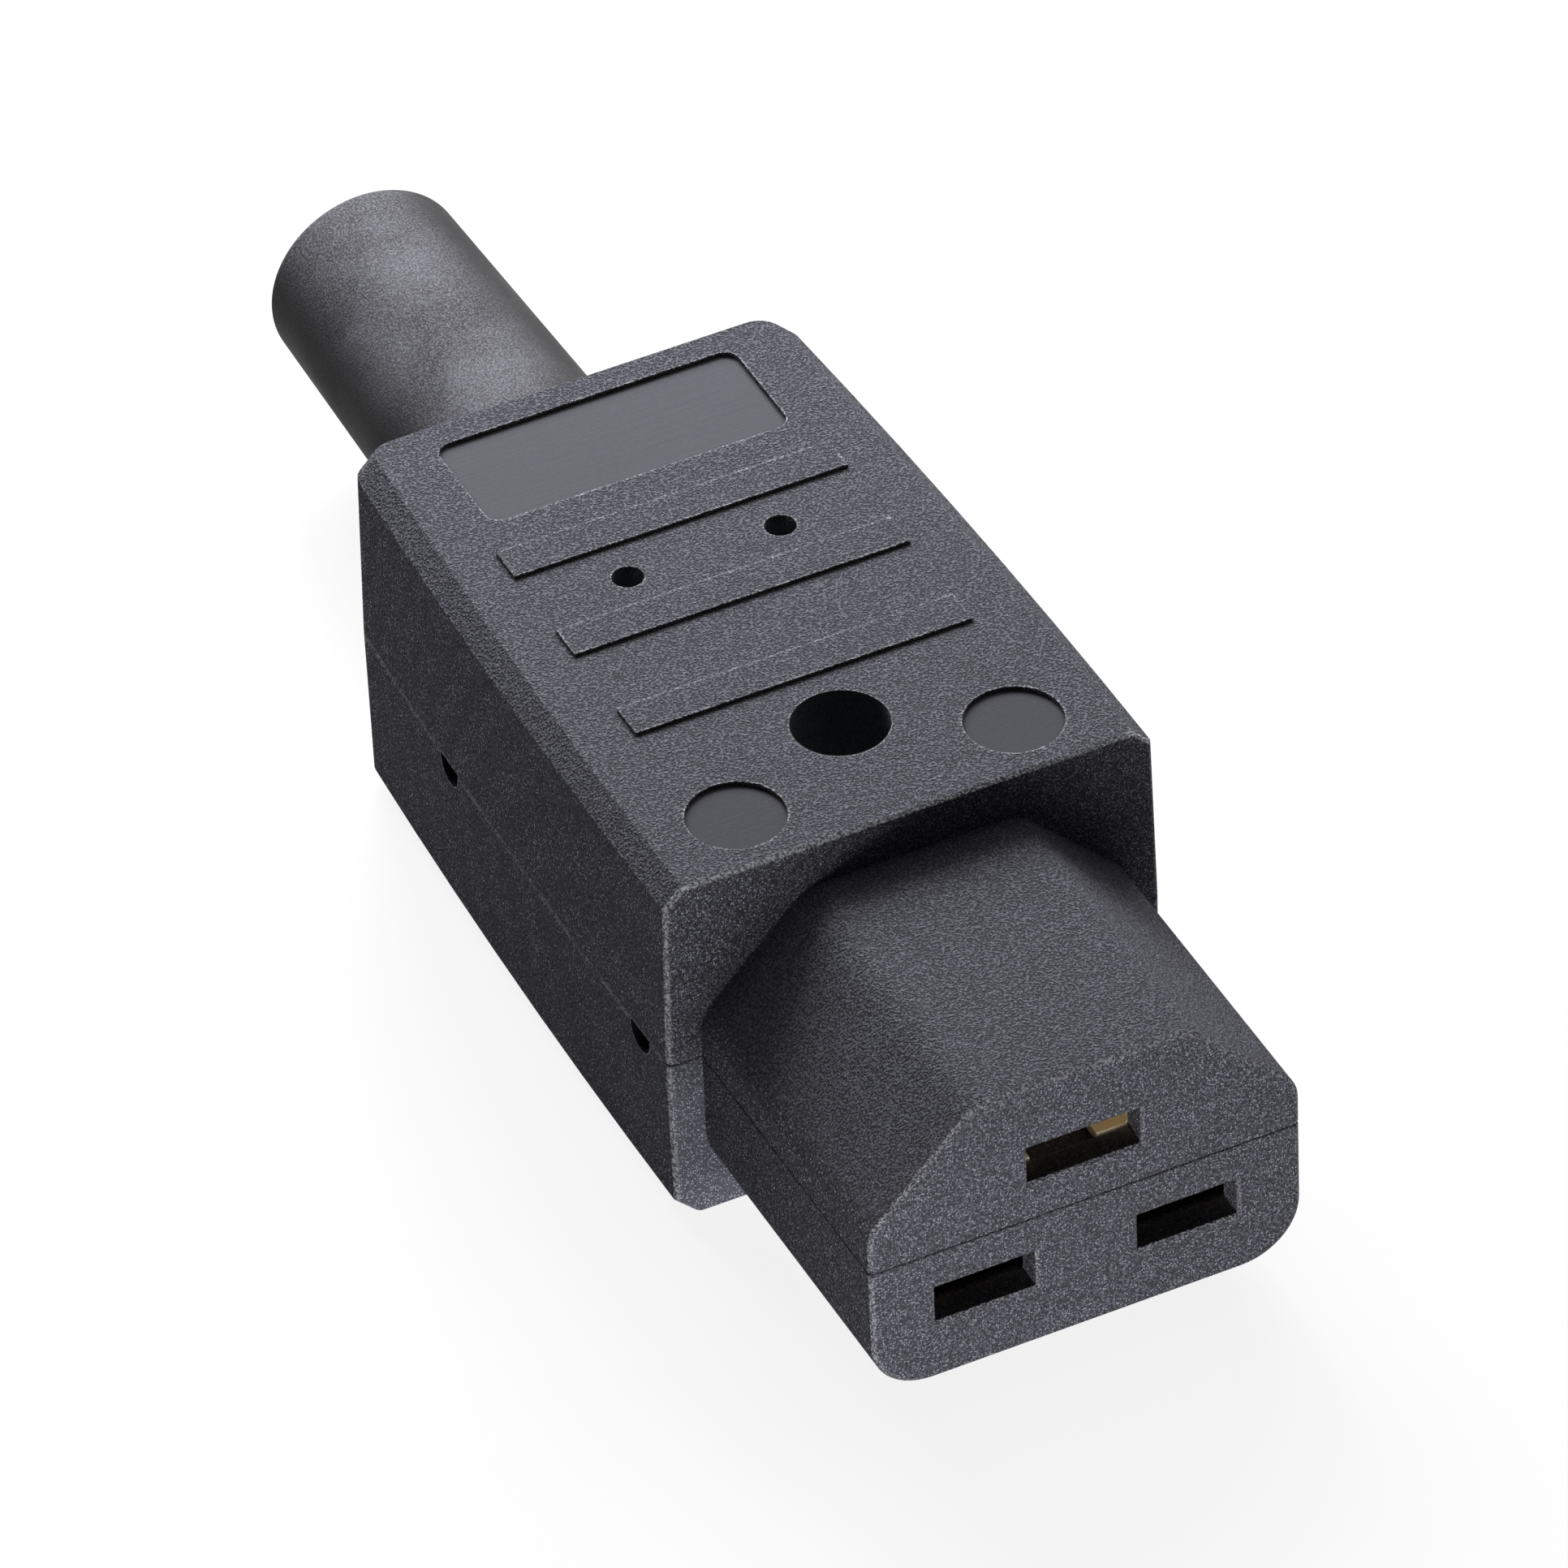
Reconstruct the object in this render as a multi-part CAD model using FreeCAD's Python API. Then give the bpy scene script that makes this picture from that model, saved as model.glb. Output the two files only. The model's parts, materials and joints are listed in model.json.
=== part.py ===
"""Rewireable appliance connector for hot conditions, in millimetres.

X runs across the connector, Y from the contact face to the cable end and Z up from the parting plane
of the two shells. At the end every piece is moved so that the origin lies under the middle of the
length, on the surface that the connector lies on.
"""
import FreeCAD, Part
import math
import os
from collections import namedtuple

# Contact pattern on the mating face
line_pitch = 13.0               # live to neutral
line_drop = 4.0                 # line slots below the parting plane
earth_rise = 4.0                # earth slot above the parting plane
line_slot_width = 6.45
earth_slot_width = 7.3
slot_height = 2.6
slot_lead = 0.2                 # chamfer round each slot

# Nose that enters the inlet
nose_length = 21.6
nose_width = 27.6
nose_above = 9.9                # top of the nose above the parting plane
nose_below = 9.5
nose_bevel = 6.9                # leg of the two upper corner bevels
nose_bevel_round = 2.6
nose_foot_round = 3.8
nose_draft = 0.03               # the nose is this much larger all round at the body
face_edge = 0.25                # broken edge round the contact face
face_wall = 1.8                 # wall in front of the contacts

# Body
body_length = 45.4
body_front_width = 32.0
body_rear_width = 29.4
body_above = 13.0
body_below = 11.9
side_bow = 2.4                  # power of the curve that the sides bow in with
upper_draft = 0.25              # each side leans in by this much up to the bevel
lower_draft = 0.1
upper_bevel = 1.25              # leg of the long bevels beside the top
lower_bevel = 1.4
end_edge = 0.2                  # broken edge at the front and rear of the top and underside
front_corner = 0.5              # round upright edges at the front
rear_corner = 1.6
wall = 2.2
parting_groove = 0.1            # broken edge that shows as the parting line
lip_height = 0.8                # lip of the lower shell that centres the upper one
lip_width = 0.9
lip_play = 0.1

# Top face
rib_count = 3
rib_setback = 13.58             # body front to the first rib
rib_pitch = 8.15
rib_width = 2.56
rib_length = 21.9
rib_rise = 0.25
recess_depth = 0.3
disc_recess_diameter = 6.0
disc_recess_span = 17.95        # between the two round recesses
disc_recess_setback = 4.45
panel_recess_length = 19.75     # across the connector
panel_recess_width = 8.1
panel_recess_corner = 1.0
panel_recess_margin = 2.05      # from the rear edge

# Pry notches on the parting line
notch_width = 2.5
notch_height = 1.45
notch_depth = 1.7
notch_front_setback = 3.8
notch_rear_setback = 30.8

# Housing screw and nut
screw_setback = 8.98            # body front to the housing screw
screw_diameter = 3.0
screw_head_diameter = 5.5
screw_head_height = 2.2
driver_slot = 0.9               # slot across every screw head
driver_slot_depth = 1.1
head_chamfer = 0.4              # broken rim of every screw head
tip_chamfer = 0.7               # blunt tip of the machine screws
head_play = 0.215               # radial room round the head in its hole
head_hole_depth = 7.8
post_wall = 1.2                 # plastic round the head hole
lower_post_diameter = 6.2
hole_play = 0.1                 # radial room round a screw shank
nut_across_flats = 5.5
nut_height = 2.4
nut_play = 0.06
nut_recess = 0.4                # nut below the underside
nut_cover = 0.6                 # plastic between the nut and the post

# Contacts
contact_sheet = 0.6
contact_play = 0.075            # room beside the pin at each side
contact_inner_height = 2.3
contact_corner = 0.9
contact_gap = 4.3               # between the two folded lips
contact_gap_aside = 0.45        # middle of that gap beside the middle of the contact
line_contact_setback = 1.4      # behind the face wall
earth_contact_setback = 0.1     # further forward, so that the earth meets its pin first
contact_margin = 3.8            # grip of each contact ends this far before the body
tail_width = 6.0
tail_overlap = 1.0
tail_end = 0.8                  # tail beyond the terminal nut
tail_corner = 0.9
spring_sheet = 0.35
spring_play = 0.04
spring_setback = 3.0
spring_length = 8.0
spring_jaw = 1.3                # part of the base that each spring leg hooks under
chamber_play = 0.12

# Earth strip round the housing screw post
leg_gap = 0.6
leg_width = 3.5
leg_return_inner = 2.8          # behind the post, where the inner edge is back at the pad
leg_return_outer = 7.0
mouth_length = 3.2              # wider rear end of the earth chamber
earth_terminal_gap = 3.0        # post to the earth nut

# Terminals
line_terminal_setback = 15.4
terminal_screw_diameter = 3.5
terminal_head_diameter = 5.6
terminal_head_height = 2.2
terminal_tip = 0.4              # screw beyond its nut
terminal_nut_side = 6.4
terminal_nut_height = 3.0
terminal_nut_play = 0.06
terminal_nut_wall = 1.2
wire_plate_length = 6.0
wire_plate_thickness = 0.9
wire_plate_groove = 0.35
thread_play = 0.03

# Cord clamp
clamp_gap = 0.985               # earth tail to the clamp
clamp_screw_span = 10.0
clamp_screw_diameter = 2.2
clamp_head_diameter = 4.4
clamp_head_height = 1.8
clamp_pilot_diameter = 1.95
clamp_point_length = 2.2        # pointed tip of the self-tapping screws
clamp_point_radius = 0.3
clamp_tip_cover = 3.4           # plastic above the screw tip
clamp_depth = 5.2               # along the cord
clamp_overhang = 2.6            # bar beyond each screw
clamp_floor = 2.8               # bar under the cord
clamp_opening = 2.0             # between the bar and its seat with no cord in place
cord_radius = 3.6               # of the cord that the boot and the clamp are made for
clamp_corner = 1.0
clamp_ridge = 0.4               # height and width of the two ridges in the saddle
clamp_ridge_pitch = 2.6
clamp_ridge_span = 3.6

# Bend boot
boot_root_radius = 7.2
boot_end_radius = 6.45
boot_length = 30.45             # outside the body
boot_end_round = 0.6
cord_play = 0.3                 # radial room round the cord in the boot
boot_flare = 1.0
boot_flare_length = 4.0
boot_play = 0.1
collar_step = 1.8               # collar beyond the boot's root
collar_thickness = 2.6
collar_chamfer = 0.4
keeper_wall = 2.0               # wall in front of the collar
keeper_play = 0.9               # radial room round the cord where it passes that wall

# Places worked out from the sizes above
body_rear = nose_length + body_length
overall_length = body_rear + boot_length
cavity_front = nose_length + wall
ceiling = body_above - wall
floor = -(body_below - wall)
post_y = nose_length + screw_setback
head_hole_radius = screw_head_diameter / 2 + head_play
post_radius = head_hole_radius + post_wall
line_terminal_y = nose_length + line_terminal_setback
earth_terminal_y = post_y + post_radius + earth_terminal_gap + terminal_nut_side / 2
clamp_y = earth_terminal_y + terminal_nut_side / 2 + tail_end + clamp_gap + clamp_depth / 2
clamp_x = clamp_screw_span / 2
clamp_seat = clamp_opening / 2
boot_bore_radius = cord_radius + cord_play
collar_radius = boot_root_radius + collar_step
collar_rear = body_rear - wall - boot_play
collar_front = collar_rear - collar_thickness
keeper_rear = collar_front - boot_play
line_contact_front = face_wall + line_contact_setback
earth_contact_front = face_wall + earth_contact_setback
contact_rear = nose_length - contact_margin
contact_height = contact_inner_height + 2 * contact_sheet
chamber_height = contact_height + 2 * (spring_sheet + spring_play + chamber_play)
leg_inner = post_radius + leg_gap
leg_outer = leg_inner + leg_width
head_seat = body_above - head_hole_depth
nut_low = -body_below + nut_recess
clamp_low = -cord_radius - clamp_floor
clamp_screw_tip = body_above - clamp_tip_cover
overrun = 1.0                   # how far a cut runs past the face it opens
same_level = 1e-6               # two levels closer than this are one

Pole = namedtuple("Pole", "name x z slot_width contact_front terminal_y inverted")
POLES = (
    Pole("live", line_pitch / 2, -line_drop, line_slot_width, line_contact_front, line_terminal_y, False),
    Pole("neutral", -line_pitch / 2, -line_drop, line_slot_width, line_contact_front, line_terminal_y,
         False),
    Pole("earth", 0.0, earth_rise, earth_slot_width, earth_contact_front, earth_terminal_y, True),
)

Screw = namedtuple("Screw", "diameter head_diameter head_height point_length point_radius")
HOUSING = Screw(screw_diameter, screw_head_diameter, screw_head_height, tip_chamfer,
                screw_diameter / 2 - tip_chamfer)
TERMINAL = Screw(terminal_screw_diameter, terminal_head_diameter, terminal_head_height, tip_chamfer,
                 terminal_screw_diameter / 2 - tip_chamfer)
CLAMP = Screw(clamp_screw_diameter, clamp_head_diameter, clamp_head_height, clamp_point_length,
              clamp_point_radius)


def vec(x, y, z):
    """Point or direction."""
    return FreeCAD.Vector(x, y, z)


def on_section(y):
    """Map (x, z) to a cross-section at y."""
    return lambda a, b: vec(a, y, b)


def on_plan(z):
    """Map (x, y) to a level at z."""
    return lambda a, b: vec(a, b, z)


def unit(a, b):
    """Unit vector in a plane."""
    size = math.hypot(a, b)
    return a / size, b / size


def rounded_wire(corners, place):
    """Closed wire through (a, b, radius) corners, with a tangent arc wherever the radius is above zero."""
    stretches = []
    for i, (a, b, radius) in enumerate(corners):
        before = corners[i - 1]
        after = corners[(i + 1) % len(corners)]
        u = unit(before[0] - a, before[1] - b)
        v = unit(after[0] - a, after[1] - b)
        if radius <= 0:
            stretches.append([(a, b)])
            continue
        half = math.acos(u[0] * v[0] + u[1] * v[1]) / 2
        reach = radius / math.tan(half)
        middle = radius / math.sin(half) - radius
        w = unit(u[0] + v[0], u[1] + v[1])
        stretches.append([(a + reach * u[0], b + reach * u[1]),
                          (a + middle * w[0], b + middle * w[1]),
                          (a + reach * v[0], b + reach * v[1])])
    edges = []
    for i, stretch in enumerate(stretches):
        if len(stretch) == 3:
            edges.append(Part.Arc(*[place(*point) for point in stretch]).toShape())
        start = stretch[-1]
        end = stretches[(i + 1) % len(stretches)][0]
        edges.append(Part.LineSegment(place(*start), place(*end)).toShape())
    return Part.Wire(edges)


def rectangle(x, b, width, height, radius, place):
    """Rounded rectangle centred on (x, b)."""
    w = width / 2
    h = height / 2
    corners = [(x - w, b - h, radius), (x + w, b - h, radius),
               (x + w, b + h, radius), (x - w, b + h, radius)]
    return rounded_wire(corners, place)


def box(x0, x1, y0, y1, z0, z1):
    """Box between two corners."""
    return Part.makeBox(x1 - x0, y1 - y0, z1 - z0, vec(x0, y0, z0))


def rod(radius, x, y, z0, z1):
    """Upright cylinder."""
    return Part.makeCylinder(radius, z1 - z0, vec(x, y, z0), vec(0, 0, 1))


def lying_rod(radius, y0, y1):
    """Cylinder along the axis that the boot and the cord share."""
    return Part.makeCylinder(radius, y1 - y0, vec(0, y0, 0), vec(0, 1, 0))


def hexagon(across_flats, x, y, z0, z1):
    """Upright hexagonal prism."""
    radius = across_flats / math.sqrt(3)
    angles = [k * math.pi / 3 for k in range(6)]
    corners = [(x + radius * math.cos(angle), y + radius * math.sin(angle), 0) for angle in angles]
    return Part.Face(rounded_wire(corners, on_plan(z0))).extrude(vec(0, 0, z1 - z0))


def join(first, others):
    """One solid from several that overlap."""
    return first.fuse(others).removeSplitter()


def ruled_solid(sections):
    """Solid ruled through closed sections, with its flat faces on true planes."""
    faces = []
    for face in Part.makeLoft(sections, True, True).Faces:
        plane = face.findPlane()
        faces.append(Part.Face(plane, face.OuterWire) if plane else face)
    return Part.Solid(Part.Shell(faces))


# Outer forms of the shells


def half_width(y):
    """Half the body's width at y: the sides bow in towards the cable end."""
    run = (y - nose_length) / body_length
    return (body_front_width - (body_front_width - body_rear_width) * run ** side_bow) / 2


def body_outline(z, inset, ends=0.0):
    """Plan of the body at a level, drawn in by inset at the sides and by ends at the front and rear."""
    front = nose_length + ends
    rear = body_rear - ends
    start = front + front_corner
    bend = rear - rear_corner
    middle = (start + bend) / 2
    wide = half_width(start) - inset
    waist = half_width(middle) - inset
    narrow = half_width(bend) - inset
    broad = wide - front_corner
    flat = narrow - rear_corner
    front_turn = front_corner * math.sqrt(0.5)
    rear_turn = rear_corner * math.sqrt(0.5)
    place = on_plan(z)

    def arc(*points):
        return Part.Arc(*[place(*point) for point in points]).toShape()

    def line(first, second):
        return Part.LineSegment(place(*first), place(*second)).toShape()

    return Part.Wire([
        line((-broad, front), (broad, front)),
        arc((broad, front), (broad + front_turn, start - front_turn), (wide, start)),
        arc((wide, start), (waist, middle), (narrow, bend)),
        arc((narrow, bend), (flat + rear_turn, bend + rear_turn), (flat, rear)),
        line((flat, rear), (-flat, rear)),
        arc((-flat, rear), (-flat - rear_turn, bend + rear_turn), (-narrow, bend)),
        arc((-narrow, bend), (-waist, middle), (-wide, start)),
        arc((-wide, start), (-broad - front_turn, start - front_turn), (-broad, front)),
    ])


def body_form(height, side, draft, bevel):
    """Outside of one half of the body, drafted and with bevelled long edges; side is 1 up or -1 down."""
    levels = [(0, parting_groove, parting_groove),
              (parting_groove, 0, 0),
              (height - bevel, draft, 0),
              (height - end_edge, draft + bevel - end_edge, 0),
              (height, draft + bevel, end_edge)]
    return ruled_solid([body_outline(side * z, inset, ends) for z, inset, ends in levels])


def cavity(z0, z1):
    """Room inside the body between two levels."""
    return Part.Face(body_outline(z0, wall, wall)).extrude(vec(0, 0, z1 - z0))


def upper_nose_section(y, inset):
    """Upper half of the nose: two large corner bevels."""
    w = nose_width / 2 - inset
    top = nose_above - inset
    leg = nose_bevel - inset * (2 - math.sqrt(2))
    g = parting_groove
    r = nose_bevel_round
    corners = [(-w + g, 0, 0), (w - g, 0, 0), (w, g, 0), (w, top - leg, r), (w - leg, top, r),
               (-w + leg, top, r), (-w, top - leg, r), (-w, g, 0)]
    return rounded_wire(corners, on_section(y))


def lower_nose_section(y, inset):
    """Lower half of the nose: rounded bottom corners."""
    w = nose_width / 2 - inset
    low = -nose_below + inset
    g = parting_groove
    r = nose_foot_round
    corners = [(-w + g, 0, 0), (-w, -g, 0), (-w, low, r), (w, low, r), (w, -g, 0), (w - g, 0, 0)]
    return rounded_wire(corners, on_section(y))


def nose_form(section):
    """Half of the nose, rooted in the body's front wall."""
    root = nose_length + wall / 2
    stations = [(0, face_edge), (face_edge, 0), (nose_length, -nose_draft), (root, -nose_draft)]
    return ruled_solid([section(y, inset) for y, inset in stations])


def front_groove(y):
    """Parting line across a front face."""
    g = parting_groove
    corners = [(-g, 0, 0), (0, -g, 0), (g, 0, 0), (0, g, 0)]
    half = body_front_width / 2 + overrun
    wire = rounded_wire(corners, lambda a, b: vec(-half, y + a, b))
    return Part.Face(wire).extrude(vec(2 * half, 0, 0))


# Cuts that both shells share


def slot_cut(pole):
    """Slot through the face wall; its chamfer is drawn from as far in front of the face as it is deep."""
    w = pole.slot_width
    h = slot_height
    grow = 2 * (slot_lead + slot_lead)
    throat = box(pole.x - w / 2, pole.x + w / 2, -overrun, face_wall + overrun,
                 pole.z - h / 2, pole.z + h / 2)
    wide = rectangle(pole.x, pole.z, w + grow, h + grow, 0, on_section(-slot_lead))
    narrow = rectangle(pole.x, pole.z, w, h, 0, on_section(slot_lead))
    return throat.fuse(ruled_solid([wide, narrow]))


def contact_width(pole):
    """Outside width of a folded contact."""
    return pole.slot_width + 2 * (contact_play + contact_sheet)


def chamber_half(pole):
    """Half the width of a contact chamber."""
    return contact_width(pole) / 2 + spring_sheet + spring_play + chamber_play


def chamber_cut(pole):
    """Tunnel from the face wall to the body's cavity that holds a contact and its spring."""
    half = chamber_half(pole)
    return box(pole.x - half, pole.x + half, face_wall, cavity_front + overrun,
               pole.z - chamber_height / 2, pole.z + chamber_height / 2)


def boot_cut():
    """Round openings for the boot in the rear wall and for the cord in the keeper wall."""
    neck = lying_rod(boot_root_radius + boot_play, collar_rear - boot_play, body_rear + overrun)
    cord = lying_rod(cord_radius + keeper_play, keeper_rear - keeper_wall - overrun, collar_rear)
    seat = lying_rod(collar_radius + boot_play, keeper_rear, collar_rear + boot_play)
    return neck.fuse([cord, seat])


def keeper(z0, z1):
    """Wall that traps the boot's collar from inside, with the block that fills in round the collar."""
    half = half_width(keeper_rear) - wall / 2
    return box(-half, half, keeper_rear - keeper_wall, collar_rear + wall / 2, z0, z1)


def terminal_boss(x, y, seat_z, back_z):
    """Block round a terminal nut, from the back wall to just short of the contact tail."""
    half = terminal_nut_side / 2 + terminal_nut_play + terminal_nut_wall
    low, high = sorted((seat_z, back_z))
    return box(x - half, x + half, y - half, y + half, low, high)


def terminal_pocket(x, y, mouth_z, back_z):
    """Square pocket for a terminal nut."""
    half = terminal_nut_side / 2 + terminal_nut_play
    low, high = sorted((mouth_z, back_z))
    return box(x - half, x + half, y - half, y + half, low, high)


def terminal_levels(pole):
    """Levels of a terminal: outer face of the tail, far face of the nut and the screw tip."""
    away = 1 if pole.inverted else -1
    tail = pole.z + away * contact_height / 2
    back = tail + away * terminal_nut_height
    return tail, back, back + away * terminal_tip


def terminal_seat(pole, wall_z):
    """Boss that holds a terminal nut, and the pocket and tip hole to cut from it."""
    tail, back, tip = terminal_levels(pole)
    away = 1 if pole.inverted else -1
    boss = terminal_boss(pole.x, pole.terminal_y, tail + away * chamber_play, wall_z + away * wall / 2)
    pocket = terminal_pocket(pole.x, pole.terminal_y, tail - away * overrun, back)
    low, high = sorted((back - away * overrun, tip + away * chamber_play))
    tip_hole = rod(terminal_screw_diameter / 2 + hole_play, pole.x, pole.terminal_y, low, high)
    return boss, pocket.fuse(tip_hole)


# Shells


def top_ribs():
    """Raised grip ribs across the top."""
    half = rib_length / 2
    ribs = []
    for k in range(rib_count):
        y = nose_length + rib_setback + k * rib_pitch
        ribs.append(box(-half, half, y, y + rib_width, ceiling + wall / 2, body_above + rib_rise))
    return ribs


def top_recesses():
    """Two shallow round recesses near the front and one shallow panel near the rear."""
    level = body_above - recess_depth
    y = nose_length + disc_recess_setback
    cuts = [rod(disc_recess_diameter / 2, side * disc_recess_span / 2, y, level, body_above + overrun)
            for side in (-1, 1)]
    panel_y = body_rear - panel_recess_margin - panel_recess_width / 2
    panel = rectangle(0, panel_y, panel_recess_length, panel_recess_width, panel_recess_corner,
                      on_plan(level))
    cuts.append(Part.Face(panel).extrude(vec(0, 0, recess_depth + overrun)))
    return cuts


def clamp_seat_block():
    """Block in the upper shell that the cord is pulled against, with its screw holes cut later."""
    half_x = clamp_x + clamp_overhang
    half_y = clamp_depth / 2
    block = box(-half_x, half_x, clamp_y - half_y, clamp_y + half_y, clamp_seat, ceiling + wall / 2)
    return block.cut(lying_rod(cord_radius, clamp_y - clamp_depth, clamp_y + clamp_depth))


def clamp_holes():
    """Screw holes of the cord clamp; their narrow pilots come out on top."""
    wide = clamp_screw_diameter / 2 + thread_play
    thin = clamp_pilot_diameter / 2
    cuts = []
    for x in (-clamp_x, clamp_x):
        cuts.append(rod(wide, x, clamp_y, clamp_seat - overrun, clamp_screw_tip + chamber_play))
        cuts.append(rod(thin, x, clamp_y, clamp_seat, body_above + overrun))
    return cuts


def lip_ring(play, height):
    """Lip along both long walls at the parting plane."""
    outer = Part.Face(body_outline(0, wall - lip_width - play)).extrude(vec(0, 0, height))
    inner = cavity(-overrun, height + overrun)
    reach = box(-body_front_width, body_front_width, cavity_front + lip_width - play,
                keeper_rear - keeper_wall - lip_width + play, -overrun, height + overrun)
    return outer.cut(inner).common(reach)


def upper_shell():
    """Upper half of the housing."""
    earth = POLES[2]
    inside_top = ceiling + wall / 2
    boss, pocket = terminal_seat(earth, ceiling)
    hollow = body_form(body_above, 1, upper_draft, upper_bevel).cut(cavity(-overrun, ceiling))
    adds = [nose_form(upper_nose_section), rod(post_radius, 0, post_y, 0, inside_top), boss,
            clamp_seat_block(), keeper(0, inside_top)]
    shell = join(hollow, adds + top_ribs())
    mouth = box(-chamber_half(earth), leg_outer + chamber_play, nose_length - mouth_length,
                cavity_front + overrun, earth.z - chamber_height / 2, earth.z + chamber_height / 2)
    cuts = [slot_cut(earth), chamber_cut(earth), mouth, pocket, boot_cut(), front_groove(0),
            front_groove(nose_length), lip_ring(lip_play, lip_height + lip_play),
            rod(screw_diameter / 2 + hole_play, 0, post_y, -overrun, body_above),
            rod(head_hole_radius, 0, post_y, head_seat, body_above + overrun)]
    return shell.cut(cuts + top_recesses() + clamp_holes()).removeSplitter()


def notch_cuts():
    """D-shaped pry notches below the parting line on both sides."""
    radius = notch_width / 2
    centre = radius - notch_height
    cuts = []
    for setback in (notch_front_setback, notch_rear_setback):
        y = nose_length + setback
        reach = half_width(y) - notch_depth
        for side in (-1, 1):
            low, high = sorted((side * reach, side * body_front_width))
            square = box(low, high, y - radius, y + radius, centre, 0)
            round_end = Part.makeCylinder(radius, high - low, vec(low, y, centre), vec(1, 0, 0))
            cuts.append(square.fuse(round_end))
    return cuts


def lower_shell():
    """Lower half of the housing."""
    lines = POLES[:2]
    inside_low = floor - wall / 2
    nut_roof = nut_low + nut_height
    seats = [terminal_seat(pole, floor) for pole in lines]
    hollow = body_form(body_below, -1, lower_draft, lower_bevel).cut(cavity(floor, overrun))
    nut_boss = rod(nut_across_flats / math.sqrt(3) + post_wall, 0, post_y, inside_low, nut_roof + nut_cover)
    adds = [nose_form(lower_nose_section), rod(lower_post_diameter / 2, 0, post_y, inside_low, 0), nut_boss,
            keeper(inside_low, 0), lip_ring(0, lip_height)]
    shell = join(hollow, adds + [boss for boss, _ in seats])
    cuts = [slot_cut(pole) for pole in lines] + [chamber_cut(pole) for pole in lines]
    cuts += [pocket for _, pocket in seats] + notch_cuts()
    cuts += [boot_cut(), front_groove(0), front_groove(nose_length),
             rod(screw_diameter / 2 + hole_play, 0, post_y, nut_roof - overrun, overrun),
             hexagon(nut_across_flats + 2 * nut_play, 0, post_y, -body_below - overrun, nut_roof)]
    return shell.cut(cuts).removeSplitter()


# Contacts and terminals, drawn with the base of the contact down and the slot's middle at the origin


def seat_on(pole, shape):
    """Move a piece from its own frame to its pole; the earth pieces are turned over."""
    placed = shape.copy()
    if pole.inverted:
        placed.rotate(vec(0, 0, 0), vec(0, 1, 0), 180)
    placed.translate(vec(pole.x, 0, pole.z))
    return placed


def tube(width, height, corner, sheet, y, length):
    """Folded rectangular tube."""
    outer = Part.Face(rectangle(0, 0, width, height, corner, on_section(y)))
    inner = Part.Face(rectangle(0, 0, width - 2 * sheet, height - 2 * sheet, corner - sheet, on_section(y)))
    return outer.cut(inner).extrude(vec(0, length, 0))


def straight_tail(pole):
    """Outline of a tail that runs straight back to its terminal."""
    w = tail_width / 2
    end = pole.terminal_y + terminal_nut_side / 2 + tail_end
    start = contact_rear - tail_overlap
    return [(-w, start, 0), (w, start, 0), (w, end, tail_end), (-w, end, tail_end)]


def stepped_tail(pole):
    """Outline of the earth tail, which steps sideways round the housing screw post."""
    w = tail_width / 2
    r = tail_corner
    start = contact_rear - tail_overlap
    step = nose_length - mouth_length + chamber_play + r
    near = post_y - post_radius
    far = post_y + post_radius
    pad = pole.terminal_y + terminal_nut_side / 2 + tail_end
    inner = [(w, start, 0), (w, step, r), (-leg_inner, near, r), (-leg_inner, far, r),
             (w, far + leg_return_inner, r), (w, pad, tail_end)]
    outer = [(-w, pad, tail_end), (-w, far + leg_return_outer, r), (-leg_outer, far + r, r),
             (-leg_outer, near - leg_width, r), (-w, step, r), (-w, start, 0)]
    return inner + outer


def contact(pole):
    """Folded brass contact with its tail and screw hole."""
    grip = tube(contact_width(pole), contact_height, contact_corner, contact_sheet, pole.contact_front,
                contact_rear - pole.contact_front)
    split = box(contact_gap_aside - contact_gap / 2, contact_gap_aside + contact_gap / 2, 0, nose_length,
                0, contact_height)
    outline = stepped_tail(pole) if pole.inverted else straight_tail(pole)
    low = -contact_height / 2
    tail = Part.Face(rounded_wire(outline, on_plan(low))).extrude(vec(0, 0, contact_sheet))
    hole = rod(terminal_screw_diameter / 2 + hole_play, 0, pole.terminal_y, low - overrun, 0)
    return join(grip.cut(split), [tail]).cut(hole)


def contact_spring(pole):
    """Steel clip that presses the folded lips of a contact together."""
    grow = 2 * (spring_play + spring_sheet)
    width = contact_width(pole) + grow
    clip = tube(width, contact_height + grow, contact_corner + grow / 2, spring_sheet,
                pole.contact_front + spring_setback, spring_length)
    half = contact_width(pole) / 2 - spring_jaw
    return clip.cut(box(-half, half, 0, nose_length, -contact_height, 0))


def terminal_nut(pole):
    """Square brass nut under the tail."""
    half = terminal_nut_side / 2
    top = -contact_height / 2
    block = box(-half, half, pole.terminal_y - half, pole.terminal_y + half, top - terminal_nut_height, top)
    return block.cut(rod(terminal_screw_diameter / 2 + thread_play, 0, pole.terminal_y,
                         top - terminal_nut_height - overrun, top + overrun))


def wire_plate(pole):
    """Plate with two wire grooves that presses the wire on to the tail."""
    y = pole.terminal_y
    base = -contact_height / 2 + contact_sheet
    top = base + wire_plate_thickness
    outline = rectangle(0, y, terminal_nut_side, wire_plate_length, contact_sheet, on_plan(base))
    plate = Part.Face(outline).extrude(vec(0, 0, wire_plate_thickness))
    cuts = [rod(terminal_screw_diameter / 2 + hole_play, 0, y, base - overrun, top + overrun)]
    g = wire_plate_groove
    behind = on_section(y - wire_plate_length / 2 - overrun)
    middle = (terminal_screw_diameter / 2 + terminal_nut_side / 2) / 2
    for x in (-middle, middle):
        wire = rounded_wire([(x - g, base, 0), (x + g, base, 0), (x, base + g, 0)], behind)
        cuts.append(Part.Face(wire).extrude(vec(0, wire_plate_length + 2 * overrun, 0)))
    return plate.cut(cuts)


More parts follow.
